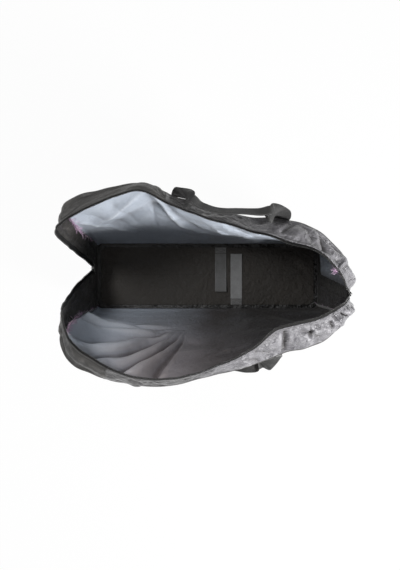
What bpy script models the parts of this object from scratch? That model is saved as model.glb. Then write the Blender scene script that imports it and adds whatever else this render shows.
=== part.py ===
"""Soft travel bag for a folded bike, standing open on its base.

Two side panels and a gusset that a zip splits all round, from low on the left end over the top to low on the
right end. Metres, +Z up. The origin is the middle of the base's underside, +X is the end where the zip still
holds, and +Y is the back.
"""

import math

import bmesh
import bpy
from mathutils import Matrix, Vector

# Base and lower band
BASE_LENGTH = 0.740
BASE_WIDTH = 0.220
BASE_CORNER_RADIUS = 0.025
BASE_THICKNESS = 0.003
BOARD_THICKNESS = 0.0025
BOARD_MARGIN = 0.014
BAND_HEIGHT = 0.060

# Heights of the side seam, of the mouth's edge and of the two places where the zip's halves part
SEAM_HEIGHT = 0.520
RIM_RISE = 0.055
LEFT_PARTING_HEIGHT = 0.120
RIGHT_PARTING_HEIGHT = 0.420

# Cloth, piping and the clearance that neighbours keep
CLOTH = 0.0016
PIPING_RADIUS = 0.0018
SEAM_INSET = 0.0030
GAP = 0.0003
PANEL_BULGE = 0.012
GUSSET_PUFF = 0.018
SEAM_ALLOWANCE = 0.013
STATION_STEP = 0.027

# Zip chain, sliders and pulls
COIL_RADIUS = 0.0018
COIL_GAP = 0.0018
TAPE_WIDTH = 0.012
TAPE_THICKNESS = 0.0010
TAPE_INSET = 0.0024
TAPE_GAP = 0.0007
SLIDER_LENGTH = 0.0160
SLIDER_PLATE = 0.0012
SLIDER_CLEARANCE = 0.0006
SLIDER_FLANGE = 0.0010
SLIDER_SLOT = 0.0028
SLIDER_POST = 0.0009
CROWN_WIDTH = 0.0016
CROWN_LENGTH = 0.0096
CROWN_HEIGHT = 0.0044
CROWN_BAR = 0.0012
PULL_LENGTH = 0.034
PULL_WIDTH = 0.0095
PULL_THICKNESS = 0.0012
PULL_BAR = 0.0013
PULL_CLEARANCE = 0.0007
END_TAB_WIDTH = 0.034
END_TAB_HEIGHT = 0.022

# Webbing handles
WEBBING_WIDTH = 0.050
WEBBING_THICKNESS = 0.0020
GRIP_WIDTH = 0.027
HANDLE_RISE = 0.088
ANCHOR_LENGTH = 0.100
BACK_ROOT_DROPS = (0.0070, 0.0070)
FRONT_ROOT_DROPS = (0.0300, 0.0095)
BACK_HINGE_OFFSET = 0.0017
FRONT_HINGE_OFFSET = 0.0019
ANCHOR_GAP = 0.0007
ROOT_STANDOFF = 0.0060

# Hook and loop straps on the base board
STRAP_WIDTH = 0.038
STRAP_THICKNESS = 0.0018
HOOK_STRAP_LENGTH = 0.128
LOOP_STRAP_LENGTH = 0.150
STRAP_ANCHOR_LENGTH = 0.020
STRAP_SPACING = 0.052
STRAP_HINGE_GAP = 0.0013

# Where the straps stand along the base, and the handles' roots along each panel's top seam
HOOK_STRAP_PLACE_SHARE = 0.12
BACK_ROOT_SHARES = (0.443, 0.765)
FRONT_ROOT_SHARES = (0.460, 0.766)
ANCHOR_LIFT_SHARE = 0.45

# Each handle's webbing from its left root to its right one. A row holds the middle's place along, up and out, the
# direction of the webbing's width along, up and out, and how far that width is opened out. Along is a share of the
# span between the roots, up and out are shares of HANDLE_RISE, and 0 is the folded grip and 1 the full webbing.
BACK_LOOP_SHARES = (
    ((0.000, 0.00, 0.00), (1.0, 0.0, 0.0), 1.0),
    ((0.000, 0.30, 0.03), (1.0, 0.0, -0.1), 1.0),
    ((0.012, 0.58, 0.04), (0.85, 0.05, -0.5), 0.95),
    ((0.050, 0.84, -0.06), (0.55, 0.1, -0.8), 0.6),
    ((0.130, 0.97, -0.20), (0.15, 0.25, -1.0), 0.2),
    ((0.250, 1.00, -0.29), (0.0, 0.25, -1.0), 0.0),
    ((0.400, 1.00, -0.31), (0.0, 0.25, -1.0), 0.0),
    ((0.610, 1.00, -0.20), (0.0, 0.25, -1.0), 0.0),
    ((0.790, 0.97, -0.09), (-0.05, 0.3, -1.0), 0.1),
    ((0.905, 0.84, 0.01), (-0.5, 0.2, -0.8), 0.5),
    ((0.975, 0.58, 0.08), (-0.9, 0.0, -0.4), 0.9),
    ((1.000, 0.28, 0.06), (-1.0, 0.0, 0.0), 1.0),
    ((1.000, 0.00, 0.00), (-1.0, 0.0, 0.0), 1.0),
)
FRONT_LOOP_SHARES = (
    ((0.000, 0.00, 0.00), (1.0, 0.0, 0.0), 1.0),
    ((0.000, -0.26, 0.05), (1.0, 0.0, 0.0), 1.0),
    ((0.015, -0.52, 0.03), (0.8, 0.0, -0.6), 0.9),
    ((0.090, -0.72, -0.02), (0.4, 0.0, -0.9), 0.5),
    ((0.200, -0.80, -0.05), (0.0, 0.1, -1.0), 0.1),
    ((0.400, -0.78, -0.03), (0.0, 0.2, -1.0), 0.0),
    ((0.570, -0.68, 0.08), (0.0, 0.3, -1.0), 0.0),
    ((0.710, -0.56, 0.22), (0.0, 0.4, -1.0), 0.0),
    ((0.850, -0.48, 0.24), (-0.3, 0.3, -0.9), 0.2),
    ((0.950, -0.36, 0.10), (-0.8, 0.1, -0.5), 0.8),
    ((0.995, -0.18, 0.03), (-1.0, 0.0, -0.1), 1.0),
    ((1.000, 0.00, 0.00), (-1.0, 0.0, 0.0), 1.0),
)

# The zip's closed stretches: x and y of the foot and of the head, as shares of half the base's length and width
LEFT_CHAIN_SHARES = ((-1.000, 0.218), (-0.984, 0.218))
RIGHT_CHAIN_SHARES = ((1.003, -0.120), (1.035, -0.500))

# Each row crosses the gusset of one half: the side seam's x, y and z, the zip edge's x, y and z, and how far the
# cloth between puffs out. The x and y are shares of half the base's length and width, a seam's z of the seam's
# height, a zip edge's z of the rim's height, and the puff of GUSSET_PUFF. The rows run from the left end over the
# top to the right end, between the zip's closed stretches.
BACK_ROW_SHARES = (
    ((-1.005, 1.13, 0.42), (-1.049, 0.53, 0.385), 0.25),
    ((-1.024, 1.27, 0.69), (-1.076, 0.76, 0.660), 0.30),
    ((-1.027, 1.54, 0.96), (-1.073, 0.95, 0.922), 0.30),
    ((-0.932, 1.78, 0.99), (-0.989, 1.16, 0.974), 0.20),
    ((-0.730, 1.96, 1.00), (-0.768, 1.54, 0.991), 0.15),
    ((-0.473, 2.09, 1.00), (-0.486, 1.84, 1.000), 0.10),
    ((-0.257, 1.80, 0.99), (-0.262, 1.51, 1.000), 0.10),
    ((0.000, 1.47, 0.985), (-0.010, 1.21, 1.000), 0.15),
    ((0.270, 1.32, 0.98), (0.257, 0.95, 0.996), 0.20),
    ((0.541, 1.25, 0.97), (0.510, 0.70, 0.987), 0.30),
    ((0.776, 0.97, 0.95), (0.735, 0.45, 0.970), 0.50),
    ((0.946, 0.44, 0.915), (0.878, 0.07, 0.930), 0.80),
    ((1.016, 0.14, 0.83), (0.968, -0.33, 0.840), 1.00),
)
FRONT_ROW_SHARES = (
    ((-1.011, -1.11, 0.46), (-1.054, -0.23, 0.417), 0.25),
    ((-1.038, -1.22, 0.73), (-1.068, -0.64, 0.678), 0.30),
    ((-1.054, -1.50, 0.93), (-1.030, -0.91, 0.896), 0.30),
    ((-0.989, -2.02, 0.98), (-0.932, -1.56, 0.974), 0.20),
    ((-0.811, -2.35, 0.996), (-0.757, -2.00, 0.991), 0.15),
    ((-0.541, -2.58, 1.00), (-0.527, -2.32, 1.000), 0.10),
    ((-0.270, -2.61, 1.00), (-0.257, -2.36, 1.000), 0.10),
    ((0.000, -2.40, 0.99), (0.013, -2.13, 1.000), 0.15),
    ((0.270, -2.18, 0.98), (0.257, -1.75, 0.991), 0.20),
    ((0.514, -1.87, 0.97), (0.460, -1.23, 0.983), 0.30),
    ((0.757, -1.67, 0.95), (0.676, -1.07, 0.965), 0.50),
    ((0.919, -1.31, 0.923), (0.838, -0.85, 0.930), 0.80),
    ((0.986, -1.06, 0.846), (0.957, -0.66, 0.843), 1.00),
)
# The side seam where the zip's halves part, left and right, as shares like the rows'
BACK_PARTING_SHARES = ((-0.984, 1.02, 0.24), (1.027, 0.20, 0.71))
FRONT_PARTING_SHARES = ((-0.984, -1.02, 0.24), (1.022, -1.02, 0.73))
FOOT_PUFF_SHARE = 0.12
PANEL_MIDDLE_SHARES = (0.7, 0.5)
LEFT_CORNER_ROW = 4
RIGHT_CORNER_ROW = 13
BACK_BLACK_ROW = 7.8
FRONT_BLACK_ROW = 6.3

RIM_HEIGHT = SEAM_HEIGHT + RIM_RISE
HALF_LENGTH = BASE_LENGTH / 2
HALF_WIDTH = BASE_WIDTH / 2
PIPING_HEIGHT = PIPING_RADIUS + GAP
BOARD_UNDERSIDE = BASE_THICKNESS + GAP
BOARD_TOP = BOARD_UNDERSIDE + BOARD_THICKNESS
OUTSIDE_PIPING = PIPING_RADIUS + GAP
BAND_UNDERSIDE = PIPING_HEIGHT + OUTSIDE_PIPING
CHAIN_HALF = COIL_RADIUS + COIL_GAP / 2
EIGHTH_TURN = math.radians(45)

SEGMENTS_ACROSS = 4
PANEL_ROWS = 13
CORNER_CROWDING = 1.4
ROW_TOLERANCE = 1e-6
ROW_STEP = 0.02
SURFACE_STEP = 0.01
BAND_COLUMNS = 24
HANDLE_COLUMNS = 32
CURVE_STEPS = 12

COLOURS = {
    "grey cloth": ((0.262, 0.258, 0.262, 1.0), 0.75),
    "black cloth": ((0.058, 0.057, 0.055, 1.0), 0.72),
    "webbing": ((0.030, 0.030, 0.031, 1.0), 0.80),
    "zip": ((0.040, 0.039, 0.038, 1.0), 0.60),
    "metal": ((0.160, 0.160, 0.165, 1.0), 0.35),
    "board": ((0.022, 0.018, 0.016, 1.0), 0.80),
    "trim": ((0.072, 0.071, 0.069, 1.0), 0.60),
}


def clear_scene():
    """Removes what the file opened with, so that the script can run again."""
    for found in list(bpy.data.objects):
        bpy.data.objects.remove(found)


def new_collection(name):
    made = bpy.data.collections.new(name)
    bpy.context.scene.collection.children.link(made)
    return made


def material_for(name, finish):
    colour, roughness = COLOURS[finish]
    made = bpy.data.materials.new(name + "_finish")
    made.use_nodes = True
    shader = made.node_tree.nodes["Principled BSDF"]
    shader.inputs["Base Color"].default_value = colour
    shader.inputs["Roughness"].default_value = roughness
    shader.inputs["Metallic"].default_value = 1.0 if finish == "metal" else 0.0
    made.diffuse_color = colour
    return made


def add_object(name, data, finish, collection):
    made = bpy.data.objects.new(name, data)
    made.data.materials.append(material_for(name, finish))
    collection.objects.link(made)
    return made


def sheet(name, surface, columns, rows, thickness, finish, collection):
    """A grid of points laid on surface(u, v), with u and v from 0 to 1, given its thickness by Solidify."""
    mesh = bpy.data.meshes.new(name)
    grid = bmesh.new()
    bmesh.ops.create_grid(grid, x_segments=columns, y_segments=rows, size=0.5)
    for vertex in grid.verts:
        vertex.co = surface(vertex.co.x + 0.5, vertex.co.y + 0.5)
    grid.to_mesh(mesh)
    grid.free()
    mesh.shade_smooth()
    made = add_object(name, mesh, finish, collection)
    solidify = made.modifiers.new("Thickness", "SOLIDIFY")
    solidify.thickness = thickness
    solidify.offset = 0.0
    return made


def tube(name, points, radius, finish, collection, closed=False):
    curve = bpy.data.curves.new(name, "CURVE")
    curve.dimensions = "3D"
    curve.bevel_depth = radius
    curve.bevel_resolution = 1
    curve.use_fill_caps = True
    spline = curve.splines.new("POLY")
    spline.points.add(len(points) - 1)
    for place, point in zip(spline.points, points):
        place.co = (*point, 1.0)
    spline.use_cyclic_u = closed
    return add_object(name, curve, finish, collection)


def plate(name, outlines, thickness, finish, collection):
    """A flat outline, with any holes after it, thickened evenly about its own XY plane and made a mesh."""
    curve = bpy.data.curves.new(name, "CURVE")
    curve.dimensions = "2D"
    curve.fill_mode = "BOTH"
    curve.extrude = thickness / 2
    for outline in outlines:
        spline = curve.splines.new("POLY")
        spline.points.add(len(outline) - 1)
        for place, (x, y) in zip(spline.points, outline):
            place.co = (x, y, 0.0, 1.0)
        spline.use_cyclic_u = True
    holder = bpy.data.objects.new(name + "_outline", curve)
    collection.objects.link(holder)
    graph = bpy.context.evaluated_depsgraph_get()
    mesh = bpy.data.meshes.new_from_object(holder.evaluated_get(graph))
    bpy.data.objects.remove(holder)
    welded = bmesh.new()
    welded.from_mesh(mesh)
    bmesh.ops.remove_doubles(welded, verts=welded.verts, dist=GAP / 100)
    welded.to_mesh(mesh)
    welded.free()
    mesh.materials.clear()
    return add_object(name, mesh, finish, collection)


def rounded_rectangle(width, height, radius, centre=(0.0, 0.0)):
    points = []
    for corner in range(4):
        x_side = 1 if corner in (0, 3) else -1
        y_side = 1 if corner in (0, 1) else -1
        for step in range(CURVE_STEPS // 2 + 1):
            angle = math.pi / 2 * (corner + step / (CURVE_STEPS // 2))
            x = x_side * (width / 2 - radius) + radius * math.cos(angle)
            y = y_side * (height / 2 - radius) + radius * math.sin(angle)
            points.append((centre[0] + x, centre[1] + y))
    return points


def tell_joint(name, point, axis):
    """Prints a moving piece's joint at rest: a point on it and the direction of its axis, in metres."""
    print(name, [round(value, 5) for value in point], [round(value, 5) for value in axis])


def join_to(target, others, cutters):
    """Unites the other solids with the target, which keeps their shapes in its Boolean modifiers."""
    for other in others:
        for holder in list(other.users_collection):
            holder.objects.unlink(other)
        cutters.objects.link(other)
        other.hide_render = True
        other.display_type = "WIRE"
        union = target.modifiers.new("Join " + other.name, "BOOLEAN")
        union.operation = "UNION"
        union.object = other


def smooth_between(before, start, end, after, share):
    """The Catmull-Rom curve from start to end, at a share of the way."""
    square = share * share
    cube = square * share
    return (
        2 * start
        + (end - before) * share
        + (2 * before - 5 * start + 4 * end - after) * square
        + (3 * start - before - 3 * end + after) * cube
    ) / 2


def along(curve, start, end, step, trim_start=0.0, trim_end=0.0):
    """Row positions from start to end, about step apart on the curve, with its two ends trimmed."""
    fine = [start + (end - start) * i / 400 for i in range(401)]
    points = [curve(position) for position in fine]
    lengths = [0.0]
    for one, other in zip(points, points[1:]):
        lengths.append(lengths[-1] + (other - one).length)
    first, last = trim_start, lengths[-1] - trim_end
    count = max(1, round((last - first) / step))
    found = []
    place = 0
    for i in range(count + 1):
        wanted = first + (last - first) * i / count
        while place < len(fine) - 2 and lengths[place + 1] < wanted:
            place += 1
        stretch = max(lengths[place + 1] - lengths[place], GAP / 1000)
        share = (wanted - lengths[place]) / stretch
        found.append(fine[place] + (fine[place + 1] - fine[place]) * share)
    return found


def at_share(values, share):
    """The value at a share of the way along a list, between its neighbours."""
    place = min(max(share, 0.0), 1.0) * (len(values) - 1)
    low = min(int(place), len(values) - 2)
    return values[low] + (values[low + 1] - values[low]) * (place - low)


def base_corner(x_side, y_side, height):
    """The middle of the base's rounded corner, where a side seam stands."""
    cut = BASE_CORNER_RADIUS * (1 - math.cos(EIGHTH_TURN))
    return Vector((x_side * (HALF_LENGTH - cut), y_side * (HALF_WIDTH - cut), height))


def wall_ring(half_run, half_other, share, radius):
    """One wall of the base's outline seen from above, corner middle to corner middle, as (along, across)."""
    arc = radius * EIGHTH_TURN
    straight = 2 * (half_run - radius)
    distance = share * (straight + 2 * arc)
    if distance < arc:
        angle = EIGHTH_TURN * (1 - distance / arc)
        return -half_run + radius - radius * math.sin(angle), half_other - radius + radius * math.cos(angle)
    if distance > straight + arc:
        angle = (distance - straight - arc) / radius
        return half_run - radius + radius * math.sin(angle), half_other - radius + radius * math.cos(angle)
    return -half_run + radius + distance - arc, half_other


def side_ring(side, share, height):
    x, y = wall_ring(HALF_LENGTH, HALF_WIDTH, share, BASE_CORNER_RADIUS)
    return Vector((x, side * y, height))


def end_ring(end, share, height):
    """An end wall of the base's outline, from the back corner to the front one."""
    y, x = wall_ring(HALF_WIDTH, HALF_LENGTH, share, BASE_CORNER_RADIUS)
    return Vector((end * x, -y, height))


class BagHalf:
    """The cloth of one half of the bag, back or front, from the base up to the zip's edge."""

    def __init__(self, name, side, rows, parting, black_row, root_shares, root_drops, hinge_offset):
        self.name = name
        self.side = side
        self.black_row = black_row
        self.root_shares = root_shares
        self.root_drops = root_drops
        self.hinge_offset = hinge_offset
        self.seams = []
        self.rims = []
        self.puffs = []
        self.add_closed_row(-1, 0, base_corner(-1, side, BAND_HEIGHT), FOOT_PUFF_SHARE)
        self.add_closed_row(-1, 1, self.seam_place(parting[0]), FOOT_PUFF_SHARE)
        for seam_shares, rim_shares, puff in rows:
            self.seams.append(self.seam_place(seam_shares))
            x, y, z = rim_shares
            self.rims.append(Vector((x * HALF_LENGTH, y * HALF_WIDTH, z * RIM_HEIGHT)))
            self.puffs.append(puff)
        self.add_closed_row(1, 1, self.seam_place(parting[1]), self.puffs[-1])
        self.add_closed_row(1, 0, base_corner(1, side, BAND_HEIGHT), FOOT_PUFF_SHARE)
        self.last_row = len(self.seams) - 1

    @staticmethod
    def seam_place(shares):
        x, y, z = shares
        return Vector((x * HALF_LENGTH, y * HALF_WIDTH, z * SEAM_HEIGHT))

    def add_closed_row(self, end, head, seam, puff):
        middle = chain_point(end, head)
        self.seams.append(seam)
        self.rims.append(middle + Vector((0.0, self.side * CHAIN_HALF, 0.0)))
        self.puffs.append(puff)

    def between(self, values, position):
        """The rows' values on a smooth curve, straight along the zip's two closed stretches."""
        position = min(max(position, 0.0), float(self.last_row))
        low = min(int(position), self.last_row - 1)
        share = position - low
        start, end = values[low], values[low + 1]
        if low in (0, self.last_row - 1):
            return start + (end - start) * share
        before = values[low - 1] if low > 1 else start * 2 - end
        after = values[low + 2] if low + 2 < self.last_row else end * 2 - start
        return smooth_between(before, start, end, after, share)

    def seam(self, position):
        return self.between(self.seams, position)

    def rim(self, position):
        return self.between(self.rims, position)

    def tangent(self, curve, position):
        before = curve(max(position - ROW_STEP, 0.0))
        after = curve(min(position + ROW_STEP, float(self.last_row)))
        return (after - before).normalized()

    def gusset_width(self, position):
        return (self.seam(position) - self.rim(position)).length

    def gusset(self, position, distance):
        """The gusset's middle surface, at a distance from the zip's edge towards the side seam."""
        rim, seam = self.rim(position), self.seam(position)
        width = (seam - rim).length
        share = distance / width
        flat = TAPE_WIDTH / width
        puffed = max(0.0, (share - flat) / (1 - flat))
        across = (seam - rim).normalized()
        out = self.tangent(self.seam, position).cross(across) * self.side
        puff = self.between(self.puffs, position) * GUSSET_PUFF
        return rim + (seam - rim) * share + out * puff * math.sin(math.pi * puffed) ** 2

    def panel_direction(self, position):
        """The direction in which the side panel leaves its seam."""
        seam = self.seam(position)
        below = Vector((seam.x * PANEL_MIDDLE_SHARES[0], seam.y, seam.z * PANEL_MIDDLE_SHARES[1]))
        inner = below - seam
        tangent = self.tangent(self.seam, position)
        return (inner - tangent * inner.dot(tangent)).normalized()

    def panel_edge(self, position):
        return self.seam(position) + self.panel_direction(position) * SEAM_INSET

    def middle(self, position):
        return (self.seam(position) + self.rim(position)) / 2

    def prepare(self):
        """Sets the stations that all the cloth of this half shares, and the row positions of the panel's edges."""
        last = self.last_row
        straight = 2 * STATION_STEP
        self.stations = [0.0]
        stretches = (
            (1.0, STATION_STEP),
            (LEFT_CORNER_ROW, STATION_STEP),
            (self.black_row, STATION_STEP),
            (RIGHT_CORNER_ROW, STATION_STEP),
            (last - 1.0, STATION_STEP),
            (float(last), straight),
        )
        for end, step in stretches:
            self.stations += along(self.middle, self.stations[-1], end, step)[1:]
        self.top_rows = self.stations_between(LEFT_CORNER_ROW, RIGHT_CORNER_ROW)
        self.left_rows = self.panel_side_rows(0.0, LEFT_CORNER_ROW)
        self.right_rows = self.panel_side_rows(float(last), RIGHT_CORNER_ROW)

    def stations_between(self, start, end, trim=0.0):
        """The shared stations from start to end, with the two ends drawn in by trim."""
        found = [row for row in self.stations if start - ROW_TOLERANCE < row < end + ROW_TOLERANCE]
        if trim:
            ends = along(self.middle, start, end, end - start, trim, trim)
            found[0], found[-1] = ends[0], ends[-1]
        return found

    def panel_side_rows(self, foot, corner):
        """Row positions up an upright edge of the panel, closer together near the rounded corner."""
        even = along(self.seam, foot, corner, STATION_STEP / 4, GAP, 0.0)
        return [at_share(even, 1 - (1 - i / PANEL_ROWS) ** CORNER_CROWDING) for i in range(PANEL_ROWS + 1)]

    def panel(self, u, v):
        """The side panel's middle surface: a Coons patch between its four edges, with a slight bulge."""
        left = self.panel_edge(at_share(self.left_rows, v))
        right = self.panel_edge(at_share(self.right_rows, v))
        top = self.panel_edge(at_share(self.top_rows, u))
        bottom = self.panel_foot(u)
        corners = (
            self.panel_foot(0.0) * (1 - u) * (1 - v)
            + self.panel_foot(1.0) * u * (1 - v)
            + self.panel_edge(self.left_rows[-1]) * (1 - u) * v
            + self.panel_edge(self.right_rows[-1]) * u * v
        )
        patch = bottom * (1 - v) + top * v + left * (1 - u) + right * u - corners
        bulge = 16 * u * (1 - u) * v * (1 - v) * PANEL_BULGE
        return patch + Vector((0.0, self.side * bulge, 0.0))

    def faceted_panel(self, u, v):
        """The side panel as its mesh has it, flat between its grid's points."""
        columns = len(self.top_rows) - 1
        column = min(int(u * columns), columns - 1)
        row = min(int(v * PANEL_ROWS), PANEL_ROWS - 1)
        across, up = u * columns - column, v * PANEL_ROWS - row
        low, high = row / PANEL_ROWS, (row + 1) / PANEL_ROWS
        near, far = column / columns, (column + 1) / columns
        lower = self.panel(near, low) * (1 - across) + self.panel(far, low) * across
        upper = self.panel(near, high) * (1 - across) + self.panel(far, high) * across
        return lower * (1 - up) + upper * up

    def panel_foot(self, u):
        """The panel's lower edge, on the lower band's top."""
        left = self.panel_edge(self.left_rows[0])
        right = self.panel_edge(self.right_rows[0])
        inset = SEAM_INSET / (BASE_LENGTH + BASE_WIDTH)
        ring = side_ring(self.side, inset + (1 - 2 * inset) * u, BAND_HEIGHT + GAP)
        straight = left + (right - left) * u
        chord_start = side_ring(self.side, inset, BAND_HEIGHT + GAP)
        chord_end = side_ring(self.side, 1 - inset, BAND_HEIGHT + GAP)
        return straight + ring - (chord_start + (chord_end - chord_start) * u)

    def panel_normal(self, u, v):
        left, right = max(u - SURFACE_STEP, 0.0), min(u + SURFACE_STEP, 1.0)
        low, high = max(v - SURFACE_STEP, 0.0), min(v + SURFACE_STEP, 1.0)
        along_u = self.panel(right, v) - self.panel(left, v)
        along_v = self.panel(u, high) - self.panel(u, low)
        return (along_u.cross(along_v) * -self.side).normalized()

    def below_seam(self, u, drop):
        """The v of the place on the panel that lies a given length below its top edge."""
        steps = 8 * PANEL_ROWS
        above = self.panel(u, 1.0)
        gone = 0.0
        for step in range(1, steps + 1):
            below = self.panel(u, 1 - step / steps)
            length = (below - above).length
            if gone + length >= drop:
                return 1 - (step - 1 + (drop - gone) / length) / steps
            gone += length
            above = below
        return 0.0

    def panel_length(self):
        edge = [self.panel_edge(row) for row in self.top_rows]
        return sum((other - one).length for one, other in zip(edge, edge[1:]))


def chain_point(end, head):
    """The middle of the closed zip at its foot (head 0) or where its halves part (head 1)."""
    shares = (LEFT_CHAIN_SHARES if end < 0 else RIGHT_CHAIN_SHARES)[head]
    height = LEFT_PARTING_HEIGHT if end < 0 else RIGHT_PARTING_HEIGHT
    return Vector((shares[0] * HALF_LENGTH, shares[1] * HALF_WIDTH, height if head else BAND_HEIGHT))


def make_base(parts):
    inner = 2 * OUTSIDE_PIPING
    outline = rounded_rectangle(BASE_LENGTH - inner, BASE_WIDTH - inner, BASE_CORNER_RADIUS - OUTSIDE_PIPING)
    panel = plate("base_panel", [outline], BASE_THICKNESS, "black cloth", parts)
    panel.location.z = BASE_THICKNESS / 2
    inner = 2 * BOARD_MARGIN
    outline = rounded_rectangle(BASE_LENGTH - inner, BASE_WIDTH - inner, BASE_CORNER_RADIUS)
    board = plate("base_board", [outline], BOARD_THICKNESS, "board", parts)
    board.location.z = BOARD_UNDERSIDE + BOARD_THICKNESS / 2
    ring = rounded_rectangle(BASE_LENGTH, BASE_WIDTH, BASE_CORNER_RADIUS)
    tube("base_piping", [(x, y, PIPING_HEIGHT) for x, y in ring], PIPING_RADIUS, "trim", parts, closed=True)


def make_side_band(half, parts):
    """The reinforced band along the foot of a side, between the base's piping and the panel."""
    inset = SEAM_INSET / (BASE_LENGTH - 2 * BASE_CORNER_RADIUS)

    def surface(u, v):
        height = BAND_UNDERSIDE + (BAND_HEIGHT - BAND_UNDERSIDE) * v
        return side_ring(half.side, inset + (1 - 2 * inset) * u, height)

    sheet(half.name + "_lower_band", surface, BAND_COLUMNS, 2, CLOTH, "black cloth", parts)


def make_end_band(name, end, back, front, parts):
    """The band across an end, whose top follows the foot of both halves of the gusset."""
    row = 0 if end < 0 else back.last_row
    inset = SEAM_INSET / (BASE_WIDTH - 2 * BASE_CORNER_RADIUS)

    def top(u):
        half = back if u <= 0.5 else front
        share = 1 - 2 * u if u <= 0.5 else 2 * u - 1
        return half.gusset(row, share * (half.gusset_width(row) - SEAM_INSET))

    def surface(u, v):
        foot = end_ring(end, inset + (1 - 2 * inset) * u, BAND_UNDERSIDE)
        head = top(u)
        head.z = BAND_HEIGHT - GAP
        return foot + (head - foot) * v

    sheet(name, surface, BAND_COLUMNS, 2, CLOTH, "black cloth", parts)


def make_gusset(half, part, start, end, finish, parts):
    """A length of one half of the gusset, between two rows."""
    rows = half.stations_between(start, end, GAP)

    def surface(u, v):
        position = at_share(rows, u)
        inner = TAPE_WIDTH + TAPE_GAP
        outer = half.gusset_width(position) - SEAM_INSET
        return half.gusset(position, inner + (outer - inner) * v)

    name = half.name + "_" + part + "_gusset"
    sheet(name, surface, len(rows) - 1, SEGMENTS_ACROSS, CLOTH, finish, parts)


def make_zip(half, parts):
    """One side of the zip, its tape and its coil, from the foot of the left end to that of the right."""
    rows = half.stations_between(0.0, half.last_row, GAP)

    def surface(u, v):
        return half.gusset(at_share(rows, u), TAPE_INSET + (TAPE_WIDTH - TAPE_INSET) * v)

    sheet(half.name + "_zip_tape", surface, len(rows) - 1, 1, TAPE_THICKNESS, "zip", parts)
    tube(half.name + "_zip_coil", [half.rim(row) for row in rows], COIL_RADIUS, "zip", parts)


def make_piping(half, parts):
    """The piping in a side seam: up one corner of the base, over the top and down the other."""
    points = [base_corner(-1, half.side, BAND_UNDERSIDE)]
    points += [half.seam(row) for row in half.stations]
    points.append(base_corner(1, half.side, BAND_UNDERSIDE))
    tube(half.name + "_piping", points, PIPING_RADIUS, "trim", parts)


def make_seam_allowance(half, part, start, end, parts):
    """The raw edges of a side seam, standing into the bag between the panel and the gusset."""
    rows = half.stations_between(start, end)

    def surface(u, v):
        position = at_share(rows, u)
        seam = half.seam(position)
        tangent = half.tangent(half.seam, position)
        towards_rim = half.rim(position) - seam
        towards_rim = (towards_rim - tangent * towards_rim.dot(tangent)).normalized()
        inwards = (towards_rim + half.panel_direction(position)).normalized()
        return seam + inwards * (OUTSIDE_PIPING + SEAM_ALLOWANCE * v)

    name = half.name + "_" + part + "_seam_allowance"
    sheet(name, surface, len(rows) - 1, 1, CLOTH / 2, "black cloth", parts)


def make_side_panel(half, parts):
    columns = len(half.top_rows) - 1
    sheet(half.name + "_side_panel", half.panel, columns, PANEL_ROWS, CLOTH, "grey cloth", parts)


def root_point(half, share, drop):
    """The middle of a handle anchor's top edge, where the webbing stands off the panel."""
    v = half.below_seam(share, drop)
    proud = CLOTH / 2 + GAP + WEBBING_THICKNESS / 2 + ROOT_STANDOFF
    return half.panel(share, v) + half.panel_normal(share, v) * proud


def handle_hinge(half):
    """The two middles of the handle's root edges, the hinge axis through them and the level way out of the bag."""
    left, right = (root_point(half, *root) for root in zip(half.root_shares, half.root_drops))
    axis = (right - left).normalized()
    out = axis.cross(Vector((0.0, 0.0, half.side))).normalized() * -1
    proud = out * half.hinge_offset
    return left + proud, right + proud, axis, out


def loop_row(rows, share):
    """A handle's middle, its width's direction and its opening at a share of the way along the webbing."""
    place = min(max(share, 0.0), 1.0) * (len(rows) - 1)
    low = min(int(place), len(rows) - 2)
    found = []
    for column in range(3):
        values = [Vector(row[column]) if column < 2 else row[column] for row in rows]
        start, end = values[low], values[low + 1]
        before = values[low - 1] if low else start * 2 - end
        after = values[low + 2] if low + 2 < len(rows) else end * 2 - start
        found.append(smooth_between(before, start, end, after, place - low))
    return found


def make_handle(half, rows, parts):
    """A webbing loop, flat at its two roots and folded narrow at the grip, whose broad side turns upwards there."""
    left, right, axis, out = handle_hinge(half)
    up = (Vector((0.0, 0.0, 1.0)) - axis * axis.z).normalized()
    span = (right - left).length

    def turned(shares, along, rise):
        return axis * shares.x * along + (up * shares.y + out * shares.z) * rise

    def surface(u, v):
        middle, across, opened = loop_row(rows, u)
        ahead = loop_row(rows, u + ROW_STEP)[0] - loop_row(rows, u - ROW_STEP)[0]
        run = turned(ahead, span, HANDLE_RISE).normalized()
        across = turned(across, 1.0, 1.0)
        if 0.0 < u < 1.0:
            across -= run * across.dot(run)
        width = GRIP_WIDTH + (WEBBING_WIDTH - GRIP_WIDTH) * min(max(opened, 0.0), 1.0)
        return left + turned(middle, span, HANDLE_RISE) + across.normalized() * width * (v - 0.5)

    sheet(half.name + "_handle", surface, HANDLE_COLUMNS, 2, WEBBING_THICKNESS, "webbing", parts)
    for side, (label, root) in enumerate((("left", left), ("right", right))):
        make_handle_anchor(half, side, label, root, axis, out, parts)
    tell_joint(half.name + "_handle", left, axis)


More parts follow.
